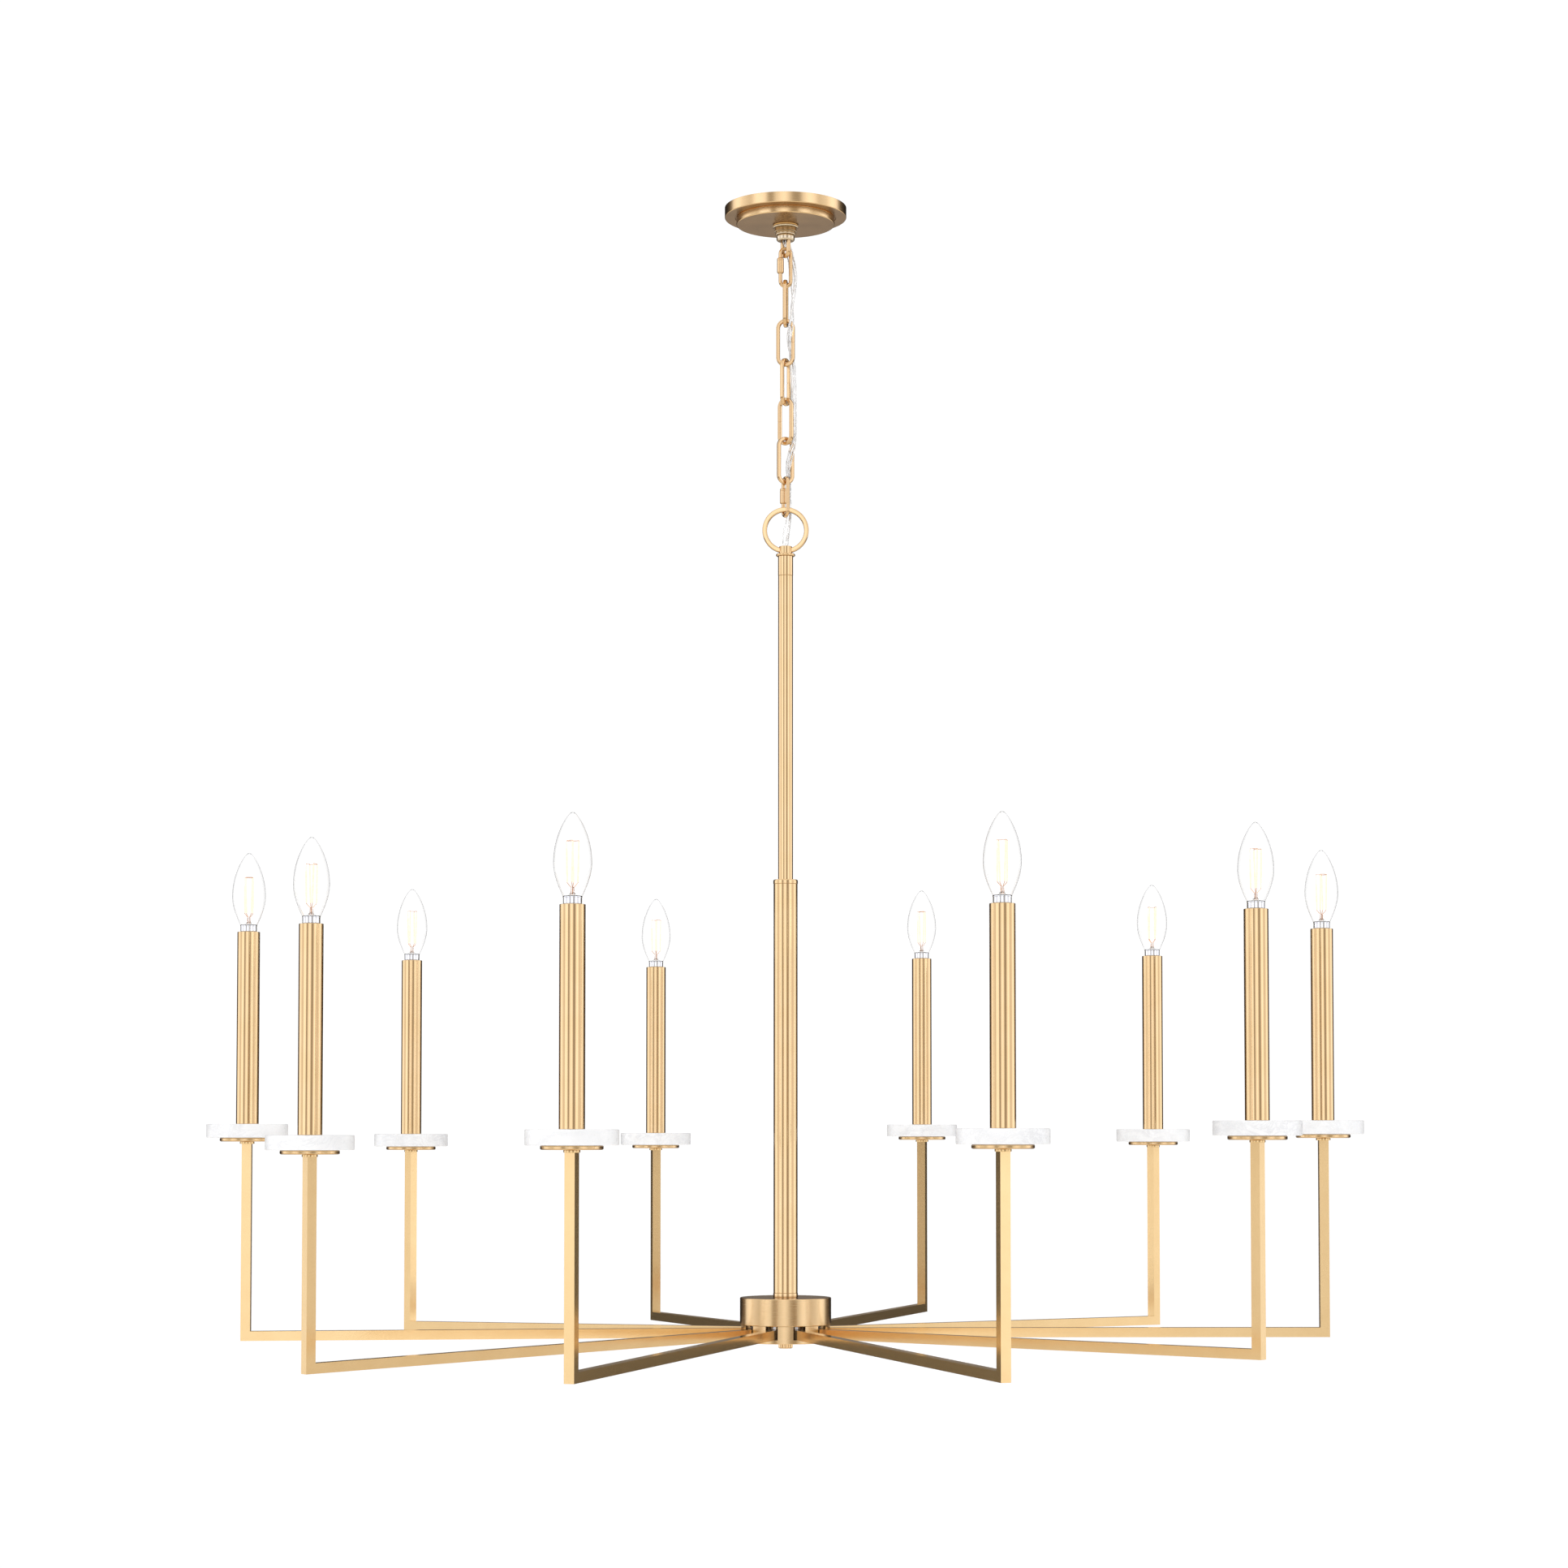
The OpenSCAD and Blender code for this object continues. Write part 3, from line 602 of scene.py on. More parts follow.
def lay_cord(name, route, sheath, cores, twist):
    """A cord in stretches, each spanning one joint of the chain. sheath and cores give the outlines of the
    clear cover and of the bundles of strands in it."""
    line = smooth_route(route)
    frames = carried_frames(line)
    joint_z = [joints[j]["pos_m"][2] for j in CHAIN_JOINTS]
    cuts = [route[0][2]]
    cuts += [(a + b) / 2 for a, b in zip(joint_z, joint_z[1:])]
    cuts += [route[-1][2]]
    ends = [min(range(len(line)), key=lambda i: abs(line[i].z - z)) for z in cuts]
    for k, z in enumerate(joint_z):
        first, last = ends[k], ends[k + 1]
        part = line[first:last + 1]
        part_frames = frames[first:last + 1]
        top, bottom = k == 0, k == len(joint_z) - 1
        turned_by = twist * (line[0].z - part[0].z)
        c, s = math.cos(turned_by), math.sin(turned_by)
        part_frames = [(t, side * c + up * s, up * c - side * s) for t, side, up in part_frames]
        outer = tube_along(part, part_frames, sheath, twist, top, bottom)
        inner = [tube_along(part, part_frames, core, twist, top, bottom) for core in cores]
        points, faces = join(outer, *inner)
        made = piece(f"{name}_{k + 1}", points, faces, [mat_cord, mat_strands])
        for polygon in made.data.polygons[len(outer[1]):]:
            polygon.material_index = 1
        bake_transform(made)
        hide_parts(name)


lay_cord(
    "power_cord", CORD_ROUTE, two_core_outline,
    [strands(-1.2, 0.62, 0.5), strands(1.2, 0.62, 0.5)], 14.0,
)
lay_cord(
    "ground_wire", WIRE_ROUTE, round_outline(0.8),
    [strands(0.0, 0.42, 0.7)], 0.0,
)

# ---------- Canopy ----------

canopy_low, canopy_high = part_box("canopy")
CANOPY_R = canopy_high.x / MM
CANOPY_H = -canopy_low.z / MM
STEP_R = 52.5
RIM_H = 11.0
SHEET = 1.5
GROOVE = 1.1
CANOPY_BORE = 5.6

piece("canopy_shell", *turned(rounded([
    (CANOPY_R, 0, 0.3), (CANOPY_R, -RIM_H, 0.8), (STEP_R + 1.3, -RIM_H, 0.5),
    (STEP_R + 1.1, GROOVE - RIM_H, 0.2), (STEP_R, GROOVE - RIM_H, 0.2), (STEP_R, -CANOPY_H, 1.0),
    (CANOPY_BORE, -CANOPY_H, 0.2), (CANOPY_BORE, SHEET - CANOPY_H, 0.2),
    (STEP_R - SHEET, SHEET - CANOPY_H, 0.6), (STEP_R - SHEET, GROOVE + SHEET - RIM_H, 0.4),
    (CANOPY_R - SHEET, GROOVE + SHEET - RIM_H, 0.6), (CANOPY_R - SHEET, 0, 0.3),
]), segments=160), mat_turned, "ceiling_canopy", "satin_brass", ["canopy"])

paint_node("ceiling_crossbar", mat_zinc)

nut_low, nut_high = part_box("canopy_ring_nut")
NUT_TOP = nut_high.z / MM
NUT_BORE = 5.55
flange = turned(rounded([
    (NUT_BORE, NUT_TOP, 0), (13.2, NUT_TOP, 0.4), (13.8, NUT_TOP - 1.4, 0.5), (13.8, NUT_TOP - 2.4, 0.3),
    (12.9, NUT_TOP - 3.2, 0.4), (NUT_BORE, NUT_TOP - 3.2, 0),
]), segments=240, knurl=(13.6, 0.35, 60))
THREAD_TOP = NUT_TOP - 3.3
THREAD_RINGS, THREAD_PITCH = 4, 1.15
thread = [(NUT_BORE, THREAD_TOP)]
for k in range(THREAD_RINGS):
    z = THREAD_TOP - k * THREAD_PITCH
    thread += [(11.5, z), (12.2, z - 0.35), (12.2, z - 0.75), (11.5, z - 1.1)]
thread += [(NUT_BORE, THREAD_TOP - THREAD_RINGS * THREAD_PITCH)]
lower_nut_top = NUT_TOP - 8.0
lower_nut = turned(rounded([
    (NUT_BORE, lower_nut_top, 0), (10.6, lower_nut_top, 0.5), (11.0, lower_nut_top - 1.2, 0.5),
    (11.0, nut_low.z / MM + 0.4, 0.4), (10.4, nut_low.z / MM, 0.3), (NUT_BORE, nut_low.z / MM, 0),
]), segments=72)
piece(
    "canopy_ring_nut_turned", *join(flange, turned(thread, segments=72), lower_nut),
    mat_pale, "ceiling_canopy", "pale_brass", ["canopy_ring_nut"],
)

LOOP_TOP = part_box("canopy_loop")[1].z / MM
LOOP_BOSS_TOP = nut_low.z / MM - 0.1
LOOP_BOSS_H = 6.0
LOOP_W = 15.4
LOOP_STEPS = 18
CHAIN_WIRE = 4.0
WIRE_ROUNDING = 1.2
loop_mid = (LOOP_W - CHAIN_WIRE) / 2
loop_bend_z = joints["top_quick_link_swing"]["pos_m"][2] / MM + loop_mid
loop_leg_top = LOOP_BOSS_TOP - LOOP_BOSS_H + 1.0
loop_path = [(loop_mid, loop_leg_top, 0.0, 1.0)]
loop_path += [
    (loop_mid * math.cos(a), loop_bend_z + loop_mid * math.sin(a), a, 1.0)
    for a in [-math.pi * k / LOOP_STEPS for k in range(LOOP_STEPS + 1)]
]
loop_path += [(-loop_mid, loop_leg_top, -math.pi, 1.0)]
chain_section = square_section(CHAIN_WIRE, WIRE_ROUNDING)
loop_turn = turn_of("top_quick_link_swing")
loop_wire = swept(wire_rings(loop_path, chain_section, (0, 0, 0), loop_turn), False)
loop_boss = turned(rounded([
    (4.0, LOOP_BOSS_TOP, 0), (8.6, LOOP_BOSS_TOP, 0.3), (9.75, LOOP_BOSS_TOP - 1.2, 0.8),
    (9.75, LOOP_BOSS_TOP - LOOP_BOSS_H + 1.4, 0.9), (8.9, LOOP_BOSS_TOP - LOOP_BOSS_H, 0.6),
    (4.0, LOOP_BOSS_TOP - LOOP_BOSS_H, 0.3),
]), segments=64)
stem_thread = [(4.0, LOOP_BOSS_TOP), (4.0, LOOP_TOP), (5.2, LOOP_TOP)]
STEM_PITCH = 1.0
z = LOOP_TOP - STEM_PITCH / 2
while z - STEM_PITCH > LOOP_BOSS_TOP:
    stem_thread += [(5.15, z), (5.5, z - STEM_PITCH / 2)]
    z -= STEM_PITCH
stem_thread += [(5.15, LOOP_BOSS_TOP)]
piece("canopy_loop_wire", *loop_wire, mat_wire, "ceiling_canopy", "satin_brass", ["canopy_loop"])
piece(
    "canopy_loop_boss", *join(loop_boss, turned(stem_thread, segments=48)),
    mat_pale, "ceiling_canopy", "pale_brass", ["canopy_loop"],
)

# ---------- Chain ----------

QUICK_W, QUICK_L, QUICK_ROD = 15.0, 44.4, 4.0
SLEEVE_R, SLEEVE_L = 3.65, 16.4


def quick_link(name, turn, sleeve_up):
    """An oval of round rod with a screw sleeve, sleeve_up above its middle."""
    at = middle_on_axis(name)
    rings = wire_rings(oval_path(QUICK_W, QUICK_L, QUICK_ROD), round_section(QUICK_ROD / 2, 18), at, turn)
    leg = Matrix.Rotation(turn, 3, "Z") @ Vector((-(QUICK_W - QUICK_ROD) / 2 * MM, 0, 0))
    top = sleeve_up + SLEEVE_L / 2
    low = sleeve_up - SLEEVE_L / 2
    sleeve = turned(rounded([
        (2.05, top, 0), (3.0, top, 0.3), (SLEEVE_R, top - 1.1, 0.3), (SLEEVE_R, top - 2.2, 0.1),
        (SLEEVE_R - 0.25, top - 2.4, 0.1), (SLEEVE_R - 0.25, top - 2.7, 0.1), (SLEEVE_R, top - 2.9, 0.1),
        (SLEEVE_R, low + 1.1, 0.3), (3.0, low, 0.3), (2.05, low, 0),
    ], 3), at + leg, 40)
    piece(f"{name}_rod", *join(swept(rings, True), sleeve), mat_wire, name, "satin_brass", [name])


quick_link("top_quick_link", turn_of("chain_link_1_swing"), 2.0)
quick_link("bottom_quick_link", turn_of("fixture_swing"), 1.7)

LINK_W, LINK_L = 20.0, 51.3
SEAM_SIDES = [1, 1, 1, -1, 1]
for i in LINKS:
    below = f"chain_link_{i + 1}_swing" if i < LINKS[-1] else "bottom_quick_link_swing"
    path = oval_path(LINK_W, LINK_L, CHAIN_WIRE, 20, SEAM_SIDES[i - 1])
    rings = wire_rings(path, chain_section, middle_on_axis(f"chain_link_{i}"), turn_of(below))
    piece(
        f"chain_link_{i}_wire", *swept(rings, True), mat_wire,
        f"chain_link_{i}", "satin_brass", [f"chain_link_{i}"],
    )

# ---------- Ring and stem ----------

RING_D, RING_BAR = 49.4, 5.0
RING_STEPS = 96
ring_low, ring_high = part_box("hanging_ring")
ring_z = ring_high.z / MM - RING_D / 2
FLANGE_Z = ring_z - RING_D / 2 - 0.7
NECK_TOP_Z = FLANGE_Z + 8
ring_mid = (RING_D - RING_BAR) / 2
ring_path = [
    (ring_mid * math.cos(a), ring_z + ring_mid * math.sin(a), a, 1.0)
    for a in [2 * math.pi * k / RING_STEPS for k in range(RING_STEPS)]
]
ring_wire = swept(wire_rings(ring_path, square_section(RING_BAR, 1.1), (0, 0, 0), 0), True)
ring_neck = turned(rounded([
    (4.0, NECK_TOP_Z, 0.2), (6.8, NECK_TOP_Z, 0.4), (6.8, FLANGE_Z, 0.3), (9.6, FLANGE_Z, 0.4),
    (10.25, FLANGE_Z - 0.9, 0.4), (10.25, FLANGE_Z - 1.7, 0.4), (9.6, FLANGE_Z - 2.5, 0.4),
    (5.0, FLANGE_Z - 2.5, 0.2), (5.0, ring_low.z / MM, 0.3), (4.0, ring_low.z / MM, 0.3),
]), segments=64)
piece(
    "hanging_ring_turned", *join(ring_wire, ring_neck), mat_tube,
    "fixture", "satin_brass", ["hanging_ring"],
)

upper_low, upper_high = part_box("upper_stem")
lower_low, lower_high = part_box("lower_stem")
ROD_BORE = 4.85
COUPLER_TOP = upper_high.z / MM
COUPLER_LOW = COUPLER_TOP - 20.7
UPPER_R = 7.85
STEM_WALL = 1.2
coupler = turned(rounded([
    (5.05, COUPLER_TOP, 0), (8.0, COUPLER_TOP, 0.35), (8.0, COUPLER_LOW, 0.35), (5.05, COUPLER_LOW, 0),
]), segments=72)
upper_tube = turned(rounded([
    (UPPER_R - STEM_WALL, COUPLER_LOW - 0.15, 0), (UPPER_R, COUPLER_LOW - 0.15, 0.3),
    (UPPER_R, upper_low.z / MM, 0.3), (UPPER_R - STEM_WALL, upper_low.z / MM, 0),
]), segments=72)
piece("upper_stem_tube", *join(coupler, upper_tube), mat_tube, "fixture", "satin_brass", ["upper_stem"])

LOWER_R = 12.7
LOWER_TOP = lower_high.z / MM
LOWER_END = lower_low.z / MM
top_ring = turned(rounded([
    (UPPER_R + 0.05, LOWER_TOP, 0), (LOWER_R - 0.2, LOWER_TOP, 0.6), (LOWER_R + 0.3, LOWER_TOP - 1.0, 0.5),
    (LOWER_R + 0.3, LOWER_TOP - 4.5, 0.4), (UPPER_R + 0.05, LOWER_TOP - 4.5, 0),
]), segments=84)
lower_tube = turned(rounded([
    (LOWER_R - STEM_WALL, LOWER_TOP - 4.6, 0), (LOWER_R, LOWER_TOP - 4.6, 0.25),
    (LOWER_R, LOWER_END + 4.6, 0.25), (LOWER_R - STEM_WALL, LOWER_END + 4.6, 0),
]), segments=84)
foot_ring = turned(rounded([
    (ROD_BORE, LOWER_END + 4.5, 0), (LOWER_R + 0.3, LOWER_END + 4.5, 0.4),
    (LOWER_R + 0.3, LOWER_END, 0.4), (ROD_BORE, LOWER_END, 0),
]), segments=84)
piece(
    "lower_stem_tube", *join(top_ring, lower_tube, foot_ring), mat_tube,
    "fixture", "satin_brass", ["lower_stem"],
)

# ---------- Hub ----------

drum_low, drum_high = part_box("hub_drum")
DRUM_TOP, DRUM_LOW = drum_high.z / MM, drum_low.z / MM
HUB_R = 48.0
DRUM_WALL = 1.8
FLOOR_BORE = 15.0
piece("hub_drum_turned", *turned(rounded([
    (ROD_BORE, DRUM_TOP, 0), (HUB_R, DRUM_TOP, 0.9), (HUB_R, DRUM_LOW, 0.8), (FLOOR_BORE, DRUM_LOW, 0.3),
    (FLOOR_BORE, DRUM_LOW + DRUM_WALL, 0.3), (HUB_R - DRUM_WALL, DRUM_LOW + DRUM_WALL, 0.4),
    (HUB_R - DRUM_WALL, DRUM_TOP - DRUM_WALL, 0.4), (ROD_BORE, DRUM_TOP - DRUM_WALL, 0),
]), segments=160), mat_turned, "fixture", "satin_brass", ["hub_drum"])

SHARP_ANGLE = math.radians(40)


def finish_node(name, material, bevel):
    """Gives a CAD node its material and softens its sharp edges."""
    paint_node(name, material)
    soft = nodes[name].modifiers.new("soft_edges", "BEVEL")
    soft.width = bevel
    soft.segments = 3
    soft.use_clamp_overlap = False
    soft.limit_method = "ANGLE"
    soft.angle_limit = SHARP_ANGLE
    flatten_shading(nodes[name])


finish_node("hub_base", mat_turned, 0.0004)
finish_node("pivot_screws", mat_zinc, 0.0002)

finial_low, finial_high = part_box("finial")
FINIAL_R = 7.6
KNOB_LOW = finial_low.z / MM
KNOB_TOP = KNOB_LOW + 6.8
KNOB_FLOOR = KNOB_LOW + 1.9
ROD_R, ROD_HOLLOW_R = 4.8, 3.0
knob = turned(rounded([
    (0, KNOB_LOW, 0), (6.5, KNOB_LOW, 0.5), (FINIAL_R, KNOB_LOW + 0.9, 0.2),
    (FINIAL_R, KNOB_TOP - 0.9, 0.2), (6.8, KNOB_TOP, 0.3), (ROD_BORE, KNOB_TOP, 0),
    (ROD_BORE, KNOB_FLOOR, 0), (0, KNOB_FLOOR, 0),
]), segments=240, knurl=(FINIAL_R - 0.05, 0.42, 40))
rod = turned([
    (ROD_HOLLOW_R, finial_high.z / MM), (ROD_R, finial_high.z / MM),
    (ROD_R, KNOB_FLOOR + 0.1), (ROD_HOLLOW_R, KNOB_FLOOR + 0.1),
], segments=32)
piece("finial_knob", *join(knob, rod), mat_tube, "fixture", "satin_brass", ["finial"])

# ---------- Arms and candles ----------

PAN_R, PAN_T = 28.5, 4.0
DISC_R, DISC_T = 42.5, 14.3
SLEEVE_TUBE_R, SLEEVE_WALL, SLEEVE_H = 11.8, 1.2, 202.0
SOCKET_R, SOCKET_TOP, SOCKET_FLOOR, SOCKET_LOW = 9.5, -1.5, -21.6, -33.5
NIPPLE_R, NIPPLE_HOLLOW_R = 3.8, 2.8
NIPPLE_BELOW_DISC = 10.7
BULB_H, BULB_R = 76.5, 17.5
CAP_R, CAP_H = 8.8, 7.0
BASE_R, BASE_L = 5.85, 20.0
BASE_TURNS, BASE_PITCH = 5, 3.0
GLASS_T = 0.7
GLASS_STEPS = 30
WIDEST = 0.4
TIP = 0.65
FILAMENTS = 4
FILAMENT_LOW, FILAMENT_HIGH = 13.5, 49.0
FILAMENT_FOOT_R, FILAMENT_HEAD_R = 4.9, 5.6
FILAMENT_LEAN = 0.16
FILAMENT_R = 0.85
FOOT_WIRE, HEAD_WIRE = 1.2, 1.4
STEM_TOP = 8.0
BULB_TURN = math.radians(67)


def glass_radius(share, inset=0.0):
    """Radius of the glass at a share of its height: a rounded foot and a long tip."""
    if share < WIDEST:
        r = CAP_R + (BULB_R - CAP_R) * math.sin(math.pi / 2 * share / WIDEST)
    else:
        r = BULB_R * math.cos(math.pi / 2 * (share - WIDEST) / (1 - WIDEST)) ** TIP
    return max(r - inset, 0.0)


def stick(a, b, radius, sides=10):
    """A straight rod from a to b, in millimetres, with domed ends."""
    line = (b - a).normalized()
    side = line.cross(UP if abs(line.z) < 0.9 else Vector((1, 0, 0))).normalized()
    up = line.cross(side)
    rings = []
    for at, along, size in (
        (a, -0.7, 0.35), (a, -0.35, 0.8), (a, 0, 1), (b, 0, 1), (b, 0.35, 0.8), (b, 0.7, 0.35),
    ):
        rings.append([
            at + line * radius * along + (side * x + up * y) * size
            for x, y in round_section(radius, sides)
        ])
    return swept(rings, False)


def placed(shape, at, angle):
    """A shape in millimetres moved to its place in the frame, turned about the vertical."""
    spin = Matrix.Rotation(angle, 3, "Z")
    points, faces = shape
    return [Vector(at) + spin @ p * MM for p in points], faces


def bulb_inside(at, angle):
    """Four upright filaments, the wires that join them, and the glass stem."""
    sticks = []
    wires = []
    feet = []
    heads = []
    for k in range(FILAMENTS):
        a = 2 * math.pi * k / FILAMENTS + math.pi / 4
        foot = Vector((FILAMENT_FOOT_R * math.cos(a), FILAMENT_FOOT_R * math.sin(a), FILAMENT_LOW))
        a += FILAMENT_LEAN
        head = Vector((FILAMENT_HEAD_R * math.cos(a), FILAMENT_HEAD_R * math.sin(a), FILAMENT_HIGH))
        feet.append(foot)
        heads.append(head)
        sticks.append(stick(foot, head, FILAMENT_R))
        wires.append(stick(foot - UP * FOOT_WIRE, foot, 0.32, 6))
        wires.append(stick(head, head + UP * HEAD_WIRE, 0.32, 6))
    for k in (0, 2):
        wires.append(stick(heads[k] + UP * HEAD_WIRE, heads[k + 1] + UP * HEAD_WIRE, 0.3, 6))
    wires.append(stick(heads[1] + UP, heads[2] + UP, 0.22, 6))
    for k, foot in enumerate(feet):
        gathered = Vector((foot.x * 0.22, foot.y * 0.22, STEM_TOP + 0.4 * (k % 2)))
        wires.append(stick(foot - UP * FOOT_WIRE, gathered, 0.3, 6))
        wires.append(stick(gathered, Vector((gathered.x, gathered.y, 1.0)), 0.22, 6))
    stem_points, stem_faces = turned([
        (0.0, 0.2), (4.6, 0.2), (4.0, 1.4), (2.4, 3.0), (1.7, 5.0), (1.6, STEM_TOP - 0.6),
        (1.1, STEM_TOP + 0.5), (0.0, STEM_TOP + 0.9),
    ], segments=24)
    # placed() scales its shape to metres, which turned() has done already
    stem = ([p / MM for p in stem_points], stem_faces)
    return [placed(shape, at, angle) for shape in (join(*sticks), join(*wires), stem)]


def candle_pieces(n, body, disc_at, sleeve_at):
    """Pan and stone disc, whose underside is at disc_at, and the sleeve, its socket and
    its nipple, hung from the sleeve's top."""
    piece(f"pan_{n}", *turned(rounded([
        (NIPPLE_R + 0.05, -0.1, 0), (PAN_R - 0.5, -0.1, 0.5), (PAN_R, -0.9, 0.5),
        (PAN_R, -PAN_T + 0.6, 0.7), (PAN_R - 1.4, -PAN_T - 0.1, 0.8), (NIPPLE_R + 0.05, -PAN_T - 0.1, 0),
    ]), disc_at, 96), mat_turned, body, "satin_brass", [f"candle_{n}"])
    piece(f"disc_{n}_stone", *turned(rounded([
        (NIPPLE_R + 1, DISC_T, 0.2), (DISC_R, DISC_T, 1.1), (DISC_R, 0, 1.1), (NIPPLE_R + 1, 0, 0.2),
    ], 5), disc_at, 128), mat_stone, body, "alabaster", [f"disc_{n}"])
    piece(f"sleeve_{n}", *turned(rounded([
        (SLEEVE_TUBE_R - SLEEVE_WALL, 0, 0.25), (SLEEVE_TUBE_R, 0, 0.35),
        (SLEEVE_TUBE_R, -SLEEVE_H, 0.3), (SLEEVE_TUBE_R - SLEEVE_WALL, -SLEEVE_H, 0.2),
    ]), sleeve_at, 84), mat_tube, body, "satin_brass", [f"candle_{n}"])
    piece(f"socket_{n}", *turned(rounded([
        (SOCKET_R, SOCKET_TOP, 0.5), (SOCKET_R, SOCKET_LOW, 0.4), (0, SOCKET_LOW, 0), (0, SOCKET_FLOOR, 0),
        (BASE_R + 0.1, SOCKET_FLOOR, 0), (BASE_R + 0.1, SOCKET_TOP, 0.3),
    ]), sleeve_at, 48), mat_ceramic, body, "satin_brass", [f"candle_{n}"])
    nipple_top = SOCKET_LOW - 0.1
    nipple_low = -SLEEVE_H - DISC_T - NIPPLE_BELOW_DISC - 0.1
    piece(f"nipple_{n}", *turned([
        (NIPPLE_HOLLOW_R, nipple_top), (NIPPLE_R, nipple_top), (NIPPLE_R, nipple_low),
        (NIPPLE_HOLLOW_R, nipple_low),
    ], sleeve_at, 32), mat_zinc, body, "satin_brass", [f"candle_{n}"])


def bulb_pieces(n, body, cap_at, turn):
    """The cap with its threaded base, the glass, and what is inside it."""
    thread = [(0, 0.2), (0, -BASE_L + 0.4), (3.0, -BASE_L + 0.1), (4.6, -BASE_L + 1.6)]
    for k in range(BASE_TURNS):
        z = -BASE_L + BASE_PITCH * (k + 1)
        thread += [(BASE_R - 0.6, z), (BASE_R, z + 0.9), (BASE_R, z + 1.4), (BASE_R - 0.6, z + 2.3)]
    thread += [(BASE_R - 0.5, 0.2)]
    cap = rounded([
        (0, CAP_H, 0), (CAP_R, CAP_H, 0.4), (CAP_R, CAP_H - 0.9, 0.1), (CAP_R - 0.25, CAP_H - 1.1, 0.1),
        (CAP_R - 0.25, 0.3, 0.5), (0, 0.3, 0),
    ])
    piece(
        f"bulb_cap_{n}", *join(turned(cap, cap_at, 64), turned(thread, cap_at, 40)),
        mat_nickel, body, "nickel_cap", [f"bulb_{n}"],
    )
    glass_at = cap_at + UP * (CAP_H + 0.1) * MM
    shares = [1 - (1 - k / GLASS_STEPS) ** 1.35 for k in range(GLASS_STEPS)]
    outer = [(glass_radius(s), s * BULB_H) for s in shares] + [(1.6, BULB_H - 0.35), (0, BULB_H)]
    inner = [(glass_radius(s, GLASS_T), s * (BULB_H - 1.6) + 0.6) for s in shares] + [(0, BULB_H - 1.2)]
    shell = turned(outer + inner[::-1], glass_at, 72)
    piece(f"bulb_glass_{n}", *shell, mat_glass, body, "bulb_glass", [f"bulb_{n}"])
    sticks, wires, stem = bulb_inside(glass_at, turn)
    piece(f"filaments_{n}", *sticks, mat_filament, body, "lit_filament", [f"bulb_{n}"])
    piece(f"filament_wires_{n}", *wires, mat_lead, body, "nickel_cap", [f"bulb_{n}"])
    piece(f"bulb_stem_{n}", *stem, mat_glass, body, "bulb_glass", [f"bulb_{n}"])


for n in ARMS:
    finish_node(f"arm_{n}", mat_bar, 0.0008)
    bulb_low, bulb_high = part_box(f"bulb_{n}")
    centre = (bulb_low + bulb_high) / 2
    disc_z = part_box(f"disc_{n}")[0].z
    sleeve_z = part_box(f"candle_{n}")[1].z
    cap_z = bulb_high.z - (BULB_H + CAP_H + 0.1) * MM
    disc_at, sleeve_at, cap_at = (Vector((centre.x, centre.y, z)) for z in (disc_z, sleeve_z, cap_z))
    candle_pieces(n, f"arm_{n}", disc_at, sleeve_at)
    bulb_pieces(n, f"arm_{n}", cap_at, int(n) * BULB_TURN)

# ---------- Floor and light ----------

FLOOR_Z, FLOOR_HALF = -2.3, 40
floor_mat = Shader("floor")
floor_grain = floor_mat.noise(floor_mat.coords(), 3, 3, 0.5)
floor_mat.link(
    floor_mat.ramp(floor_grain, [(0.3, (0.93, 0.93, 0.93)), (0.7, (0.96, 0.96, 0.96))]),
    floor_mat.surface.inputs["Base Color"],
)
floor_mat.set(Roughness=0.8, Emission_Color=(1, 1, 1, 1), Emission_Strength=0.2)
floor_corners = [(x * FLOOR_HALF, y * FLOOR_HALF, FLOOR_Z) for x, y in ((-1, -1), (1, -1), (1, 1), (-1, 1))]
floor = piece("floor", floor_corners, [(0, 1, 2, 3)], floor_mat.material)
floor.visible_glossy = False

# What the metal reflects, by direction round the object: (degrees from the front,
# brightness). The dark stretch behind it gives the tubes dark outlines, and a dark gap
# between the sides and the floor draws the turned edges.
STUDIO_SIDES = [
    (-180, 0.22), (-172, 0.10), (-164, 0.03), (-154, 0.04), (-146, 0.07), (-134, 0.09), (-125, 0.30),
    (-114, 1.25), (-102, 1.45), (-84, 1.05), (-70, 0.85), (-56, 1.45), (-40, 1.35), (-31, 0.45),
    (-26, 0.45), (-17, 1.10), (-2, 1.45), (7, 1.05), (14, 0.48), (26, 0.42), (34, 1.10), (46, 1.50),
    (56, 1.30), (66, 0.85), (80, 1.00), (100, 1.50), (112, 1.30), (123, 0.30), (134, 0.09), (150, 0.05),
    (162, 0.03), (180, 0.22),
]
STUDIO_PEAK = 1.5
FLOOR_SEEN = (0.98, 0.93, 0.87)
GAP_SEEN = (0.40, 0.36, 0.32)
CEILING_SEEN = (1.05, 1.05, 1.10)
SHADE_TINT = Vector((1.0, 0.87, 0.74))
LIGHT_TINT = Vector((1.0, 1.03, 1.16))
FULL_LIGHT = 1.2
BACKDROP_LEVEL = 1.05
AMBIENT_LEVEL = 0.85

world = bpy.data.worlds.new("studio")
bpy.context.scene.world = world
world.use_nodes = True
sky = world.node_tree
sky.nodes.clear()


def sky_node(kind, sources, **settings):
    """A world node; sources are outputs or values for its inputs, in order."""
    made = sky.nodes.new(kind)
    for key, value in settings.items():
        setattr(made, key, value)
    for target, source in zip(made.inputs, sources):
        if isinstance(source, bpy.types.NodeSocket):
            sky.links.new(source, target)
        else:
            target.default_value = source
    return made.outputs[0]


def sky_share(value, start, end):
    """0 where value is start, rising smoothly to 1 where it is end."""
    return sky_node(
        "ShaderNodeMapRange", (value, start, end, 0.0, 1.0), interpolation_type="SMOOTHSTEP")


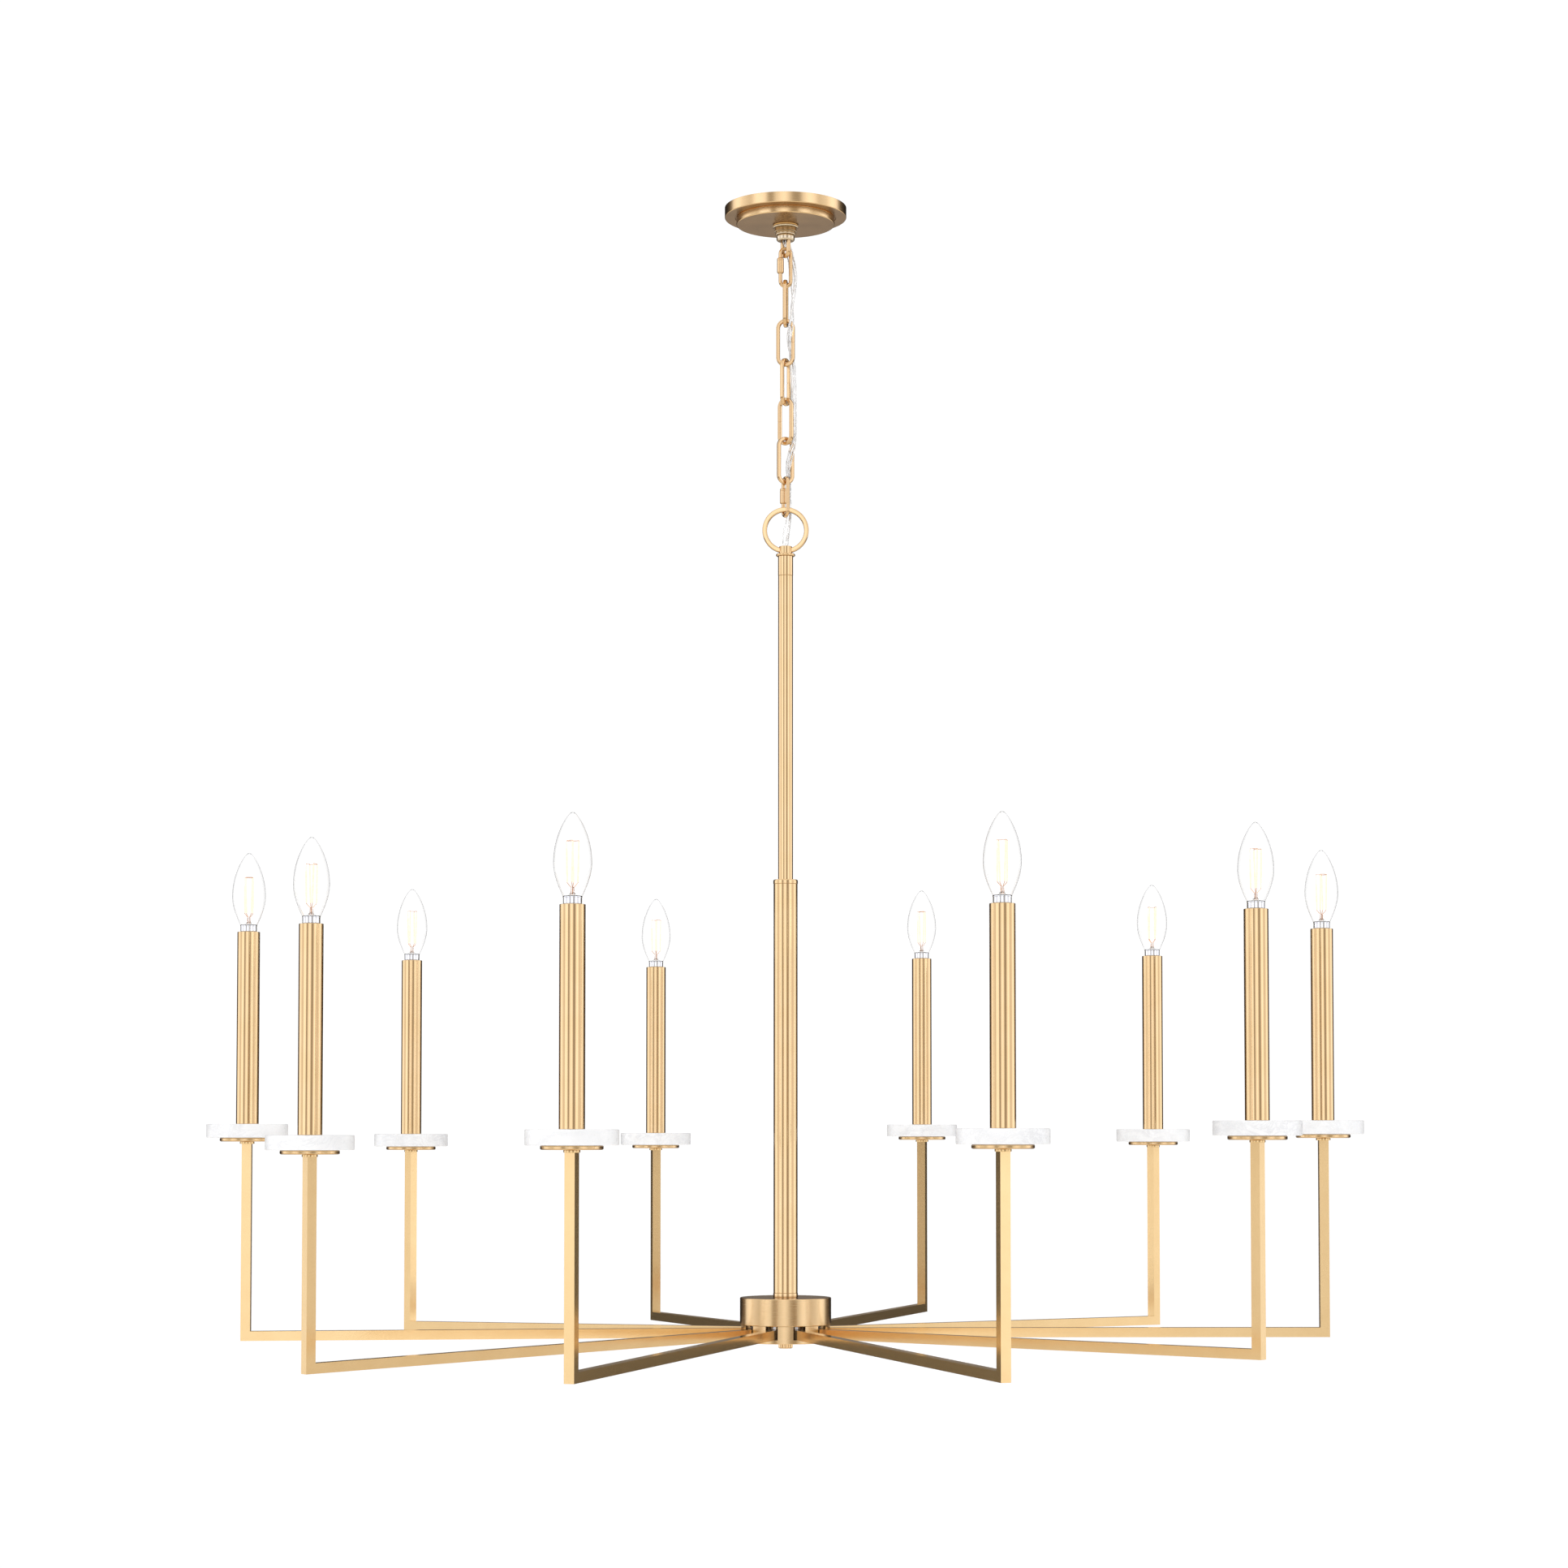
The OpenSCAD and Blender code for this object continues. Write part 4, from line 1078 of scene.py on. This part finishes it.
coords = sky.nodes.new("ShaderNodeTexCoord")
parts = sky.nodes.new("ShaderNodeSeparateXYZ")
sky.links.new(coords.outputs["Generated"], parts.inputs[0])
x, y, z = parts.outputs
toward = sky_node("ShaderNodeMath", (y, -1.0), operation="MULTIPLY")
azimuth = sky_node("ShaderNodeMath", (x, toward), operation="ARCTAN2")
along = sky_node("ShaderNodeMapRange", (azimuth, -math.pi, math.pi, 0.0, 1.0))
bands = sky.nodes.new("ShaderNodeValToRGB")
bands.color_ramp.interpolation = "EASE"
stops = bands.color_ramp.elements
while len(stops) < len(STUDIO_SIDES):
    stops.new(0.5)
for stop, (degrees, level) in zip(stops, STUDIO_SIDES):
    tint = SHADE_TINT.lerp(LIGHT_TINT, min(level / FULL_LIGHT, 1.0)) * (level / STUDIO_PEAK)
    stop.position = (degrees + 180) / 360
    stop.color = (*tint, 1)
sky.links.new(along, bands.inputs["Fac"])
sides = sky_node("ShaderNodeBackground", (bands.outputs["Color"], STUDIO_PEAK))
under = sky_node("ShaderNodeBackground", ((*FLOOR_SEEN, 1), 1.0))
above = sky_node("ShaderNodeBackground", ((*CEILING_SEEN, 1), 1.0))
gap = sky_node("ShaderNodeBackground", ((*GAP_SEEN, 1), 1.0))
low_sides = sky_node("ShaderNodeMixShader", (sky_share(z, -0.09, -0.16), sides, gap))
lower = sky_node("ShaderNodeMixShader", (sky_share(z, -0.27, -0.42), low_sides, under))
in_metal = sky_node("ShaderNodeMixShader", (sky_share(z, 0.45, 0.85), lower, above))
backdrop = sky_node("ShaderNodeBackground", ((1, 1, 1, 1), BACKDROP_LEVEL))
ambient = sky_node("ShaderNodeBackground", ((1, 1, 1, 1), AMBIENT_LEVEL))
ray = sky.nodes.new("ShaderNodeLightPath").outputs
through = sky_node("ShaderNodeMath", (1.0, ray["Is Transmission Ray"]), operation="SUBTRACT")
mirrored = sky_node("ShaderNodeMath", (ray["Is Glossy Ray"], through), operation="MULTIPLY")
soft = sky_node("ShaderNodeMixShader", (ray["Is Diffuse Ray"], backdrop, ambient))
seen = sky_node("ShaderNodeMixShader", (mirrored, soft, in_metal))
sky.links.new(seen, sky.nodes.new("ShaderNodeOutputWorld").inputs["Surface"])


def softbox(name, at, aim, size, power):
    """A rectangular light that the metal doesn't mirror."""
    data = bpy.data.lights.new(name, "AREA")
    data.shape = "RECTANGLE"
    data.size, data.size_y = size
    data.energy = power
    lamp = bpy.data.objects.new(name, data)
    lamp.location = at
    lamp.rotation_euler = (Vector(aim) - Vector(at)).to_track_quat("-Z", "Y").to_euler()
    lamp.visible_glossy = False
    bpy.context.scene.collection.objects.link(lamp)


AIM = (0, 0, -0.8)
softbox("key", (-2.4, -2.6, 1.6), AIM, (2.2, 2.2), 55)
softbox("fill", (2.8, -1.6, 0.4), AIM, (2.0, 2.6), 22)

bpy.context.scene.view_settings.view_transform = "Standard"
bpy.context.scene.view_settings.look = "None"
